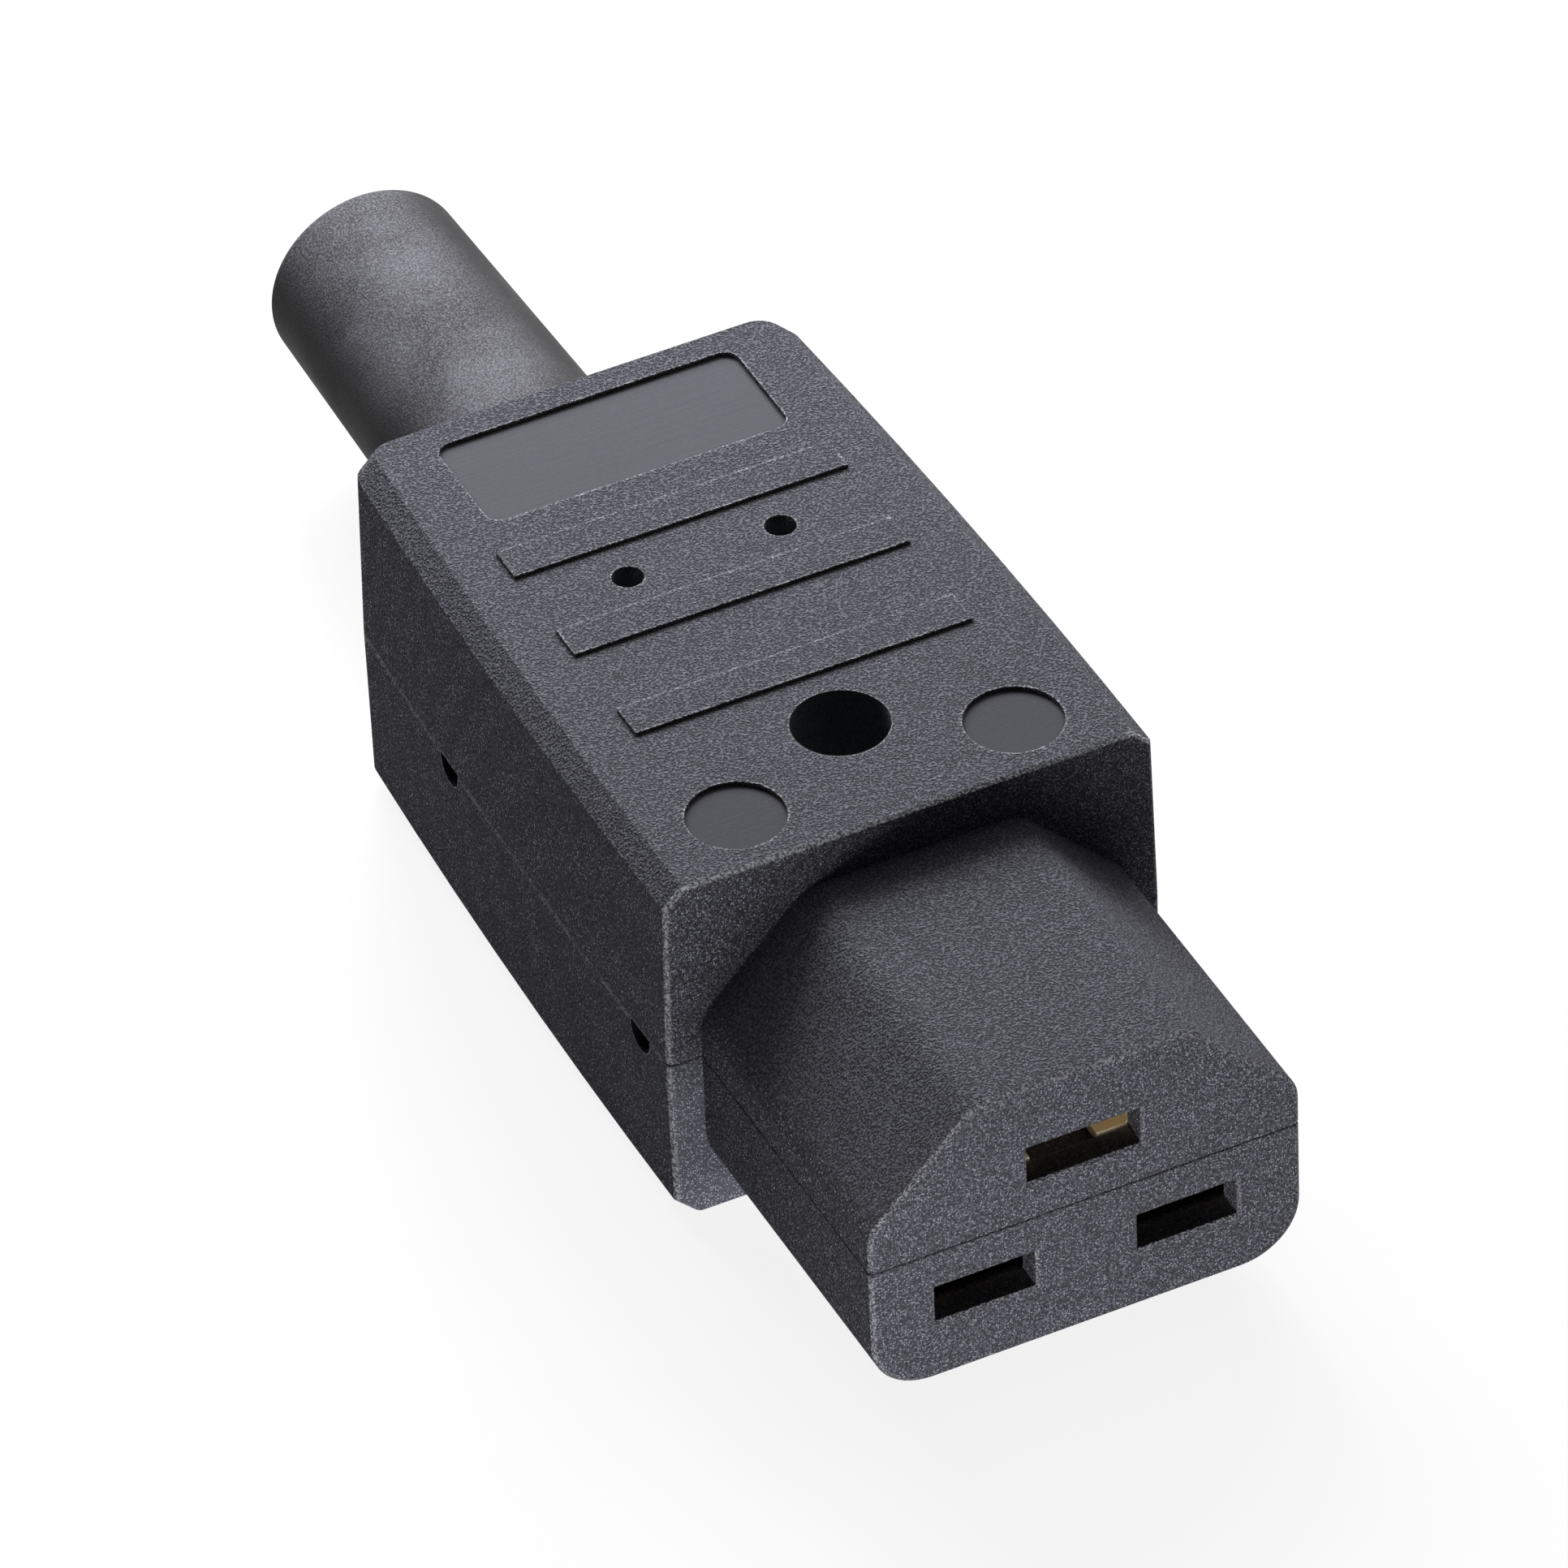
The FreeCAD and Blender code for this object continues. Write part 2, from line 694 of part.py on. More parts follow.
def slotted_screw(kind, x, y, seat, tip):
    """Screw with its head seated at one level and its tip at another."""
    up = 1 if seat > tip else -1
    head = seat + up * kind.head_height
    low, high = sorted((seat, head))
    cap = rod(kind.head_diameter / 2, x, y, low, high)
    rim = [edge for edge in cap.Edges if edge.isClosed() and abs(edge.Vertexes[0].Z - head) < same_level]
    cap = cap.makeChamfer(head_chamfer, rim)
    half = driver_slot / 2
    low, high = sorted((head - up * driver_slot_depth, head + up * overrun))
    slot = box(x - kind.head_diameter, x + kind.head_diameter, y - half, y + half, low, high)
    radius = kind.diameter / 2
    shank_end = tip + up * kind.point_length
    low, high = sorted((seat, shank_end))
    shank = rod(radius, x, y, low, high)
    point = Part.makeCone(radius, kind.point_radius, kind.point_length,
                          vec(x, y, shank_end), vec(0, 0, -up))
    return join(cap.cut(slot), [shank, point])


def terminal_screw(pole):
    """Terminal screw through the wire plate and the tail into the nut."""
    tail = -contact_height / 2
    seat = tail + contact_sheet + wire_plate_thickness
    return slotted_screw(TERMINAL, 0, pole.terminal_y, seat, tail - terminal_nut_height - terminal_tip)


# Fasteners, clamp and boot


def housing_screw():
    """Long screw that holds the shells together."""
    return slotted_screw(HOUSING, 0, post_y, head_seat, nut_low)


def housing_nut():
    """Hexagon nut in the pocket of the lower shell, with its corners turned off at the outer end."""
    nut = hexagon(nut_across_flats, 0, post_y, nut_low, nut_low + nut_height)
    crown = Part.makeCone(nut_across_flats / 2, nut_across_flats / 2 + nut_height, nut_height,
                          vec(0, post_y, nut_low), vec(0, 0, 1))
    nut_top = nut_low + nut_height
    bore = rod(screw_diameter / 2 + thread_play, 0, post_y, nut_low - overrun, nut_top + overrun)
    return nut.common(crown).cut(bore)


def cord_clamp():
    """Bar with a ridged saddle that pulls the cord up against the upper shell."""
    length = 2 * (clamp_x + clamp_overhang)
    outline = rectangle(0, clamp_y, length, clamp_depth, clamp_corner, on_plan(clamp_low))
    bar = Part.Face(outline).extrude(vec(0, 0, -clamp_seat - clamp_low))
    cuts = [lying_rod(cord_radius, clamp_y - clamp_depth, clamp_y + clamp_depth)]
    for x in (-clamp_x, clamp_x):
        cuts.append(rod(clamp_screw_diameter / 2 + hole_play, x, clamp_y, clamp_low - overrun, overrun))
    bar = bar.cut(cuts)
    thick = clamp_ridge / 2
    half = clamp_ridge_span / 2
    ridges = []
    for side in (-1, 1):
        y = clamp_y + side * clamp_ridge_pitch / 2
        ring = lying_rod(cord_radius + clamp_ridge, y - thick, y + thick)
        ring = ring.cut(lying_rod(cord_radius - clamp_ridge, y - clamp_ridge, y + clamp_ridge))
        ridges.append(ring.common(box(-half, half, y - clamp_ridge, y + clamp_ridge, clamp_low, 0)))
    return join(bar, ridges)


def clamp_screw(side):
    """Self-tapping screw of the cord clamp, driven from below."""
    return slotted_screw(CLAMP, side * clamp_x, clamp_y, clamp_low, clamp_screw_tip)


def bend_boot():
    """Tapered rubber sleeve with a collar inside the body and a flared mouth."""
    end = overall_length
    mouth = boot_bore_radius + boot_flare
    end_round = min(boot_end_round, (boot_end_radius - mouth) / 2)
    flat = collar_radius - collar_chamfer
    corners = [(boot_bore_radius, collar_front, 0), (flat, collar_front, 0),
               (collar_radius, collar_front + collar_chamfer, 0),
               (collar_radius, collar_rear - collar_chamfer, 0), (flat, collar_rear, 0),
               (boot_root_radius, collar_rear, 0), (boot_root_radius, body_rear, 0),
               (boot_end_radius, end, end_round), (mouth, end, 0),
               (boot_bore_radius, end - boot_flare_length, 0)]
    profile = Part.Face(rounded_wire(corners, on_plan(0)))
    return profile.revolve(vec(0, 0, 0), vec(0, 1, 0), 360)


def pieces():
    """Every piece by name."""
    found = {"upper_shell": upper_shell(), "lower_shell": lower_shell(), "bend_boot": bend_boot(),
             "housing_screw": housing_screw(), "housing_nut": housing_nut(), "cord_clamp": cord_clamp(),
             "cord_clamp_screw_left": clamp_screw(-1), "cord_clamp_screw_right": clamp_screw(1)}
    makers = {"contact": contact, "contact_spring": contact_spring, "terminal_nut": terminal_nut,
              "wire_plate": wire_plate, "terminal_screw": terminal_screw}
    for pole in POLES:
        for kind, make in makers.items():
            found[f"{pole.name}_{kind}"] = seat_on(pole, make(pole))
    return found


def main():
    """Write one file for each piece."""
    os.makedirs("parts", exist_ok=True)
    for name, shape in pieces().items():
        if len(shape.Solids) != 1 or not shape.isValid():
            raise ValueError(f"{name} is not one sound solid")
        shape.translate(vec(0, -overall_length / 2, body_below))
        shape.exportStep(f"parts/{name}.step")


main()
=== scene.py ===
"""Finishes, studio and camera for the rewireable appliance connector.

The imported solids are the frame. This script dresses them with moulded plastic, rubber, brass and zinc
plate, adds threaded screws in place of the plain ones, and lights the whole on a pale floor.
"""
import json
import logging
import math
from dataclasses import dataclass
from enum import Enum
from typing import Callable, Union

import bpy
from mathutils import Matrix, Vector


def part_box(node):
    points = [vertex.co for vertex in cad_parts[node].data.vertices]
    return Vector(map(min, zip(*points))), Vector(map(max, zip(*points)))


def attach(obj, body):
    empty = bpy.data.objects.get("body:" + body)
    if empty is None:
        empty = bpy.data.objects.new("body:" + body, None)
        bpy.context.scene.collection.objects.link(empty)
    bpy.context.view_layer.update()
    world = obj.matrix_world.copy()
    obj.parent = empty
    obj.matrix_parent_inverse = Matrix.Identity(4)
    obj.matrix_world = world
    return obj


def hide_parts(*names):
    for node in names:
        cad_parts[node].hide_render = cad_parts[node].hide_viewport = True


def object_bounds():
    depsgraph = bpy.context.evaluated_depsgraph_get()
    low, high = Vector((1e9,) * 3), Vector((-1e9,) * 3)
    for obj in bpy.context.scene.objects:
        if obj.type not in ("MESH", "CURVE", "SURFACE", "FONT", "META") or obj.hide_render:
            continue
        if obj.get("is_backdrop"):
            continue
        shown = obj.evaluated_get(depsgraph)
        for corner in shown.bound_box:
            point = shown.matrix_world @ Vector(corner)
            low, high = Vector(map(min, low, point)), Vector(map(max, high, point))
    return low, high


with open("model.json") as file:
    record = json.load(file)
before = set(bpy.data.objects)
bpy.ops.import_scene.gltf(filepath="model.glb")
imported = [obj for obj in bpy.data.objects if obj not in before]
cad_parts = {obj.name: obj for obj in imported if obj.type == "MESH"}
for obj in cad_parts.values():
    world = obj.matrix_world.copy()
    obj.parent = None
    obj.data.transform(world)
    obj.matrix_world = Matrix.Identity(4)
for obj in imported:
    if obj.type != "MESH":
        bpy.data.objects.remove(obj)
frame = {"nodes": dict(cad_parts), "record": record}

LOG = logging.getLogger("connector")
MM = 0.001
LEVEL = 0.9  # cosine of the slope up to which a face counts as level
PHOTO_PIXELS = 1932
Socket = bpy.types.NodeSocket
Outputs = bpy.types.NodeOutputs
Value = Union[float, tuple, Socket]
Inputs = dict[Union[str, int], Value]
Colour = tuple[float, float, float]
Pair = tuple[float, float]


class Slot(Enum):
    """Material slots of the record."""

    SHELL = "shell"
    BOOT = "boot"
    CLAMP = "clamp"
    BRASS = "brass"
    STEEL = "steel"


# Node trees


class Graph:
    """A node tree that is being wired."""

    def __init__(self, tree: bpy.types.NodeTree) -> None:
        """Start from an empty tree of a material, a world or a group."""
        self.tree = tree
        tree.nodes.clear()

    def add(self, kind: str, inputs: Inputs | None = None, **settings: object) -> bpy.types.Node:
        """Place a node.

        Args:
            kind: Blender's name of the node type.
            inputs: Socket values, or sockets to link from, by socket name or number.
            settings: Other properties of the node.

        Returns:
            The new node.
        """
        node = self.tree.nodes.new(kind)
        for name, value in settings.items():
            setattr(node, name, value)
        for key, value in (inputs or {}).items():
            if isinstance(value, Socket):
                self.tree.links.new(value, node.inputs[key])
            else:
                node.inputs[key].default_value = value
        return node

    def math(self, operation: str, *values: Value, clamp: bool = False) -> Socket:
        """Work out a number, which stays between 0 and 1 if it is clamped."""
        node = self.add("ShaderNodeMath", dict(enumerate(values)), operation=operation, use_clamp=clamp)
        return node.outputs["Value"]

    def product(self, first: Value, *others: Value) -> Socket:
        """Multiply numbers.

        Args:
            first: Number or socket.
            others: Numbers or sockets.

        Returns:
            The product's socket.
        """
        for other in others:
            first = self.math("MULTIPLY", first, other)
        return first

    def rest(self, share: Value) -> Socket:
        """What a share leaves of 1."""
        return self.math("SUBTRACT", 1.0, share)

    def ramp(self, value: Value, low: float, high: float, start: float = 0.0, end: float = 1.0) -> Socket:
        """Map a stretch of values smoothly to another stretch.

        Args:
            value: Number or socket.
            low: Value that gives start.
            high: Value that gives end.
            start: Result at low.
            end: Result at high.

        Returns:
            The result's socket.
        """
        node = self.add("ShaderNodeMapRange",
                        {"Value": value, "From Min": low, "From Max": high, "To Min": start, "To Max": end},
                        interpolation_type="SMOOTHSTEP")
        return node.outputs["Result"]

    def mix(self, factor: Value, first: Value, second: Value) -> Socket:
        """Mix two colours, at the node's colour sockets; the factor is the share of the second."""
        node = self.add("ShaderNodeMix", {0: factor, 6: first, 7: second}, data_type="RGBA")
        return node.outputs[2]

    def place(self) -> Socket:
        """Object coordinates of the shaded point."""
        return self.add("ShaderNodeTexCoord").outputs["Object"]

    def split(self, vector: Socket) -> Outputs:
        """Split a vector into X, Y and Z."""
        return self.add("ShaderNodeSeparateXYZ", {"Vector": vector}).outputs

    def stretch(self, place: Socket, scale: tuple[float, float, float]) -> Socket:
        """Scale coordinates, so that a pattern is drawn out where the scale is small."""
        return self.add("ShaderNodeMapping", {"Vector": place, "Scale": scale}).outputs["Vector"]

    def noise(self, place: Socket, scale: Value, detail: float) -> Socket:
        """Soft noise from 0 to 1, with so many waves per metre and so many finer layers."""
        return self.add("ShaderNodeTexNoise", {"Vector": place, "Scale": scale, "Detail": detail}).outputs[0]

    def bump(self, height: Value, distance: float, normal: Socket | None = None) -> Socket:
        """Tilt the normal by a height.

        Args:
            height: Height from 0 to 1.
            distance: What a height of 1 means, in metres.
            normal: Normal to start from, or none for the face's own.

        Returns:
            The tilted normal.
        """
        node = self.add("ShaderNodeBump", {"Height": height, "Distance": distance})
        if normal is not None:
            self.tree.links.new(normal, node.inputs["Normal"])
        return node.outputs["Normal"]

    def surface(self, inputs: Inputs) -> None:
        """Close a material's tree with a principled surface."""
        shader = self.add("ShaderNodeBsdfPrincipled", inputs)
        self.add("ShaderNodeOutputMaterial", {"Surface": shader.outputs["BSDF"]})


def opaque(colour: Colour) -> tuple[float, float, float, float]:
    """The colour with full alpha."""
    return (*colour, 1.0)


def new_material(title: str) -> tuple[bpy.types.Material, Graph]:
    """Start a material.

    Args:
        title: Name of the material.

    Returns:
        The material, and its tree, still empty.
    """
    made = bpy.data.materials.new(title)
    made.use_nodes = True
    return made, Graph(made.node_tree)


# Effects that several finishes share


class Effect:
    """A shader node group with named inputs and outputs, built once."""

    title = ""
    inputs: tuple[tuple[str, str, float], ...] = ()
    outputs: tuple[tuple[str, str], ...] = ()

    def __init__(self) -> None:
        """Make the group's sockets and wire its nodes."""
        self.group = bpy.data.node_groups.new(self.title, "ShaderNodeTree")
        graph = Graph(self.group)
        for name, kind, default in self.inputs:
            socket = self.group.interface.new_socket(name, in_out="INPUT", socket_type=kind)
            socket.default_value = default
        for name, kind in self.outputs:
            self.group.interface.new_socket(name, in_out="OUTPUT", socket_type=kind)
        given = graph.add("NodeGroupInput").outputs
        graph.add("NodeGroupOutput", self.wire(graph, given))

    def wire(self, graph: Graph, given: Outputs) -> Inputs:
        """Wire the effect from the group's inputs, and give its results by name."""
        raise NotImplementedError

    def place(self, graph: Graph, **values: Value) -> Outputs:
        """Place the effect in a material's tree with values of its own, and give its outputs."""
        return graph.add("ShaderNodeGroup", values, node_tree=self.group).outputs


class Grain(Effect):
    """Pebbled skin that a spark-eroded mould leaves on plastic."""

    title = "moulded grain"
    inputs = (("Pebbles", "NodeSocketFloat", 6000.0), ("Fine", "NodeSocketFloat", 0.5))
    outputs = (("Height", "NodeSocketFloat"), ("Tone", "NodeSocketFloat"))
    turn = (0.62, 0.47, 0.81)
    finer = 2.3
    detail = 1.0
    spread = (0.32, 0.68)

    def wire(self, graph: Graph, given: Outputs) -> Inputs:
        """Rounded pebbles with finer ones between them, turned so that no face lies along their rows.

        Args:
            graph: The group's tree.
            given: Pebbles, per metre, and the share of the finer ones.

        Returns:
            Height, and the tone that follows it, both from 0 to 1.
        """
        turned = graph.add("ShaderNodeMapping", {"Vector": graph.place(), "Rotation": self.turn})
        place = turned.outputs["Vector"]
        coarse = graph.noise(place, given["Pebbles"], self.detail)
        fine = graph.noise(place, graph.product(given["Pebbles"], self.finer), self.detail)
        pebbles = graph.ramp(coarse, *self.spread)
        grit = graph.ramp(fine, *self.spread)
        height = graph.math("MULTIPLY_ADD", grit, given["Fine"], pebbles)
        height = graph.math("DIVIDE", height, graph.math("ADD", given["Fine"], 1.0))
        return {"Height": height, "Tone": graph.product(height, height)}


class Flecks(Effect):
    """Bright specks in a moulded skin: filler and dust, and on the shell also painted glints."""

    title = "filler flecks"
    inputs = (("Cells", "NodeSocketFloat", 4600.0), ("Radius", "NodeSocketFloat", 0.22),
              ("Share", "NodeSocketFloat", 0.5))
    outputs = (("Mask", "NodeSocketFloat"),)
    faintest = 0.3

    def wire(self, graph: Graph, given: Outputs) -> Inputs:
        """A speck in the middle of some cells, each of its own strength.

        Args:
            graph: The group's tree.
            given: Cells, per metre, the speck's radius in cells, and the share of cells with one.

        Returns:
            A mask that is 1 on the brightest specks.
        """
        cells = graph.add("ShaderNodeTexVoronoi", {"Vector": graph.place(), "Scale": given["Cells"]},
                          feature="F1")
        picks = graph.add("ShaderNodeSeparateColor", {"Color": cells.outputs["Color"]}).outputs
        chosen = graph.math("LESS_THAN", picks["Red"], given["Share"])
        inside = graph.math("LESS_THAN", cells.outputs["Distance"], given["Radius"])
        strength = graph.math("MULTIPLY_ADD", picks["Green"], 1.0 - self.faintest, self.faintest)
        return {"Mask": graph.product(chosen, inside, strength)}


class Edges(Effect):
    """Softly rounded edges, and a mask of those that stand out, for pale marks that are rubbed wear and, on
    the shell, also painted highlight.
    """

    title = "rubbed edges"
    inputs = (("Radius", "NodeSocketFloat", 0.15 * MM), ("Reach", "NodeSocketFloat", 0.15 * MM),
              ("Patches", "NodeSocketFloat", 900.0))
    outputs = (("Normal", "NodeSocketVector"), ("Wear", "NodeSocketFloat"))
    samples = 6
    thickness = (0.92, 0.55)
    detail = 3.0
    breaks = (0.36, 0.62)
    faintest = 0.3

    def wire(self, graph: Graph, given: Outputs) -> Inputs:
        """Round the edges, find those that stand out by how thin the body is there, and break the marks up.

        Args:
            graph: The group's tree.
            given: Radius of the edges and width of the marks in metres, and marks per metre.

        Returns:
            The rounded normal, and wear from 0 to 1.
        """
        rounded = graph.add("ShaderNodeBevel", {"Radius": given["Radius"]}, samples=self.samples)
        thin = graph.add("ShaderNodeAmbientOcclusion", {"Distance": given["Reach"]}, samples=self.samples,
                         inside=True, only_local=True)
        edge = graph.ramp(thin.outputs["AO"], *self.thickness)
        patches = graph.noise(graph.place(), given["Patches"], self.detail)
        broken = graph.ramp(patches, *self.breaks, self.faintest, 1.0)
        return {"Normal": rounded.outputs["Normal"], "Wear": graph.product(edge, broken)}


class Hollows(Effect):
    """Tells open surfaces from inner corners and the insides of holes."""

    title = "open or hollow"
    inputs = (("Reach", "NodeSocketFloat", 4.0 * MM),)
    outputs = (("Open", "NodeSocketFloat"), ("Corner", "NodeSocketFloat"))
    samples = 8
    opening = (0.20, 0.44)
    cornering = (0.95, 0.40)

    def wire(self, graph: Graph, given: Outputs) -> Inputs:
        """Look how much of the piece stands around a point.

        Args:
            graph: The group's tree.
            given: How far to look, in metres.

        Returns:
            A mask that is 1 in the open and 0 inside a hole, and one that is 1 in an inner corner.
        """
        around = graph.add("ShaderNodeAmbientOcclusion", {"Distance": given["Reach"]}, samples=self.samples,
                           only_local=True).outputs["AO"]
        return {"Open": graph.ramp(around, *self.opening), "Corner": graph.ramp(around, *self.cornering)}


class Drawn(Effect):
    """Lines that drawing leaves along a metal, and the patches where it has gone dull."""

    title = "drawn metal"
    inputs = (("Lines", "NodeSocketFloat", 2600.0), ("Patches", "NodeSocketFloat", 420.0))
    outputs = (("Height", "NodeSocketFloat"), ("Dull", "NodeSocketFloat"))
    line_stretch = (1.0, 0.06, 1.0)
    line_detail = 2.0
    patch_detail = 4.0
    patch_spread = (0.38, 0.68)

    def wire(self, graph: Graph, given: Outputs) -> Inputs:
        """Noise drawn out along the piece, and soft noise for the patches.

        Args:
            graph: The group's tree.
            given: Lines and patches, both per metre.

        Returns:
            Height of the lines, and a mask that is 1 on dull patches.
        """
        place = graph.place()
        lines = graph.noise(graph.stretch(place, self.line_stretch), given["Lines"], self.line_detail)
        patches = graph.noise(place, given["Patches"], self.patch_detail)
        return {"Height": lines, "Dull": graph.ramp(patches, *self.patch_spread)}


@dataclass
class Effects:
    """The shared effects."""

    grain: Grain
    flecks: Flecks
    edges: Edges
    hollows: Hollows
    drawn: Drawn


# Finishes


class Site:
    """Where the shaded point lies and which way its face looks."""

    def __init__(self, graph: Graph) -> None:
        """Place the nodes that tell.

        Args:
            graph: The material's tree.
        """
        self.place = graph.place()
        self.at = graph.split(self.place)
        self.facing = graph.split(graph.add("ShaderNodeNewGeometry").outputs["Normal"])
        self.off_middle = graph.math("ABSOLUTE", self.at["X"])
        self.sideways = graph.math("ABSOLUTE", self.facing["X"])


@dataclass(frozen=True)
class MouldedShell:
    """Charcoal plastic with a spark-eroded grain; the shallow recesses on top are cut smooth."""

    # Places that the frame gives
    parting: float
    flange: float
    recess_level: float
    level_edges: float
    bore: Pair
    notches: Pair
    # Colours
    colour: Colour = (0.184, 0.185, 0.221)
    dark: Colour = (0.056, 0.056, 0.066)
    cut: Colour = (0.089, 0.090, 0.103)
    disc: Colour = (0.064, 0.065, 0.075)
    # Painted shade for inner corners; also the dark parting line
    shade: Colour = (0.024, 0.024, 0.028)
    # Flat colours inside holes; the slots' paler colour is painted light
    hole: Colour = (0.085, 0.095, 0.100)
    slot: Colour = (0.24, 0.24, 0.245)
    # Painted shade: the insides of the pry notches near black
    notch_shade: Colour = (0.010, 0.010, 0.011)
    # Painted highlight along the parting line on the body's sides
    lit_seam: Colour = (0.92, 0.92, 0.95)
    # Specks: filler, and painted glints that are brightest at the sides; at the front also painted bounce
    # light
    fleck: Colour = (0.40, 0.41, 0.49)
    side_glint: Colour = (0.97, 0.97, 1.00)
    front_glint_and_bounce: Colour = (0.74, 0.76, 0.90)
    # Pale edges: rubbed wear and painted highlight
    rub_and_glint: Colour = (0.78, 0.79, 0.85)
    # Grain and gloss
    pebbles: float = 6400.0
    fine: float = 0.35
    depth: float = 0.115 * MM
    roughness: float = 0.82
    rubbed: float = 0.60
    specular: float = 0.03
    # Specks of filler, with painted glints and painted bounce light
    fleck_cells: float = 7000.0
    fleck_radius: float = 0.34
    fleck_share: float = 0.7
    upright: Pair = (0.4, 0.95)
    level_glint_share: float = 0.15
    side_turn: Pair = (0.6, 0.9)
    side_sparse: float = 3.0
    front_turn: float = -0.7
    front_rim: float = 0.6 * MM
    low_bounce_flecks: float = 2.2
    low_bounce_pale: float = 0.15
    # Edges with rubbed wear and painted highlight, and painted shade in inner corners
    edge_radius: float = 0.12 * MM
    outer_radius: float = 0.24 * MM
    outer_edges: Pair = (11.5 * MM, 13.0 * MM)
    rub_width: float = 0.22 * MM
    rub_patches: float = 900.0
    # Painted glints: how much of a pale mark shows on each pebble
    painted_glints: Pair = (1.4, 0.15)
    # Painted highlight on the slants and round corners beside a front face
    slant_start: Pair = (-0.08, -0.28)
    slant_end: Pair = (-0.985, -0.65)
    slant_glint: float = 0.85
    slot_field: Pair = (10.4 * MM, 6.2 * MM)
    slot_calm: float = 0.75
    nose_calm: float = 0.55
    level_calm: float = 0.50
    corner_reach: float = 5.0 * MM
    # Painted shade in inner corners: its strength, and the heights below which it gives way, where floor
    # bounce light would fall
    corner_shade_share: float = 0.50
    floor_bounce_heights: Pair = (-3.0 * MM, 2.0 * MM)
    # Parting line
    seam: Pair = (0.09 * MM, 0.03 * MM)
    seam_share: float = 0.9
    seam_strip: Pair = (0.28 * MM, 0.224 * MM)
    seam_calm: float = 0.85
    lit_edge: Pair = (0.22 * MM, 0.11 * MM)
    dashes: float = 650.0
    dash_detail: float = 2.0
    dash_spread: Pair = (0.38, 0.62)
    dash_faintest: float = 0.45
    # Holes, notches and recesses
    bore_radius: float = 2.99 * MM
    notch_half: float = 1.3 * MM
    notch_height: float = 1.5 * MM
    notch_play: float = 0.02 * MM
    notch_floor: float = 14.4 * MM
    notch_wall: float = 0.6
    level_play: float = 0.04 * MM
    disc_field: float = 20.0 * MM
    tool_marks: float = 7000.0
    mark_stretch: tuple[float, float, float] = (0.02, 1.0, 1.0)
    mark_detail: float = 2.0
    mark_spread: Pair = (0.3, 0.7)
    mark_depth: float = 0.04
    mark_tone: float = 0.12

    def material(self, effects: Effects) -> bpy.types.Material:
        """Build the finish.

        Args:
            effects: The shared effects.

        Returns:
            The material.
        """
        made, graph = new_material("moulded shell")
        site = Site(graph)
        grain = effects.grain.place(graph, Pebbles=self.pebbles, Fine=self.fine)
        flecks = effects.flecks.place(graph, Cells=self.fleck_cells, Radius=self.fleck_radius,
                                      Share=self.fleck_share)["Mask"]
        radius = graph.ramp(site.off_middle, *self.outer_edges, self.edge_radius, self.outer_radius)
        edges = effects.edges.place(graph, Radius=radius, Reach=self.rub_width, Patches=self.rub_patches)
        hollows = effects.hollows.place(graph, Reach=self.corner_reach)
        smooth = self.recess_mask(graph, site)
        marks = self.cut_marks(graph, site)
        grained = graph.product(hollows["Open"], graph.rest(smooth))
        notched = self.notch_mask(graph, site)
        sunk = graph.math("MAXIMUM", notched, self.bore_mask(graph, site))
        outside = graph.product(hollows["Open"], graph.rest(sunk))
        # Painted glints: pale marks brightest on the pebble tops
        painted_glints = graph.math("MULTIPLY_ADD", grain["Tone"], *self.painted_glints, clamp=True)

        skin = graph.mix(grain["Tone"], opaque(self.dark), opaque(self.colour))
        skin = self.flecks_glints_and_bounce(graph, site, skin, graph.product(flecks, grained))
        colour = graph.mix(smooth, skin, self.recess_floor(graph, site, marks))
        # Painted shade: inner corners darkened, fading out below the parting line where the floor's bounce
        # light would fall
        corner_shade_strength = graph.ramp(self.above_parting(graph, site), *self.floor_bounce_heights, 0.0, self.corner_shade_share)
        colour = graph.mix(graph.product(hollows["Corner"], corner_shade_strength), colour, opaque(self.shade))
        colour = self.parted(graph, site, colour, painted_glints)
        # Insides of holes take flat colours; in the slots this is painted light
        colour = graph.mix(outside, self.inside(graph, site), colour)
        # Painted shade: the pry notches near black
        colour = graph.mix(notched, colour, opaque(self.notch_shade))
        # Pale edges: rubbed wear, and painted highlight on the outer rims and slants
        rubbed = graph.product(self.rub_and_glint_mask(graph, site, edges["Wear"]), painted_glints, outside)
        colour = graph.mix(rubbed, colour, opaque(self.rub_and_glint))

        height = graph.math("ADD", graph.product(grain["Height"], grained),
                            graph.product(marks, smooth, self.mark_depth))
        gloss = graph.ramp(grain["Tone"], 0.0, 1.0, self.roughness, self.rubbed)
        graph.surface({"Base Color": colour, "Roughness": gloss, "Specular IOR Level": self.specular,
                       "Normal": graph.bump(height, self.depth, edges["Normal"])})
        return made

    def above_parting(self, graph: Graph, site: Site) -> Socket:
        """Height above the parting plane."""
        return graph.math("SUBTRACT", site.at["Z"], self.parting)

    def side_mask(self, graph: Graph, site: Site) -> Socket:
        """A mask that is 1 on the faces at the sides."""
        return graph.ramp(site.sideways, *self.side_turn)

    def flange_mask(self, graph: Graph, site: Site) -> Socket:
        """A mask that is 1 on the front of the body, where the specks are painted brighter as glints and
        bounce light.
        """
        ahead = graph.math("LESS_THAN", site.facing["Y"], self.front_turn)
        return graph.product(ahead, graph.math("COMPARE", site.at["Y"], self.flange, self.front_rim))

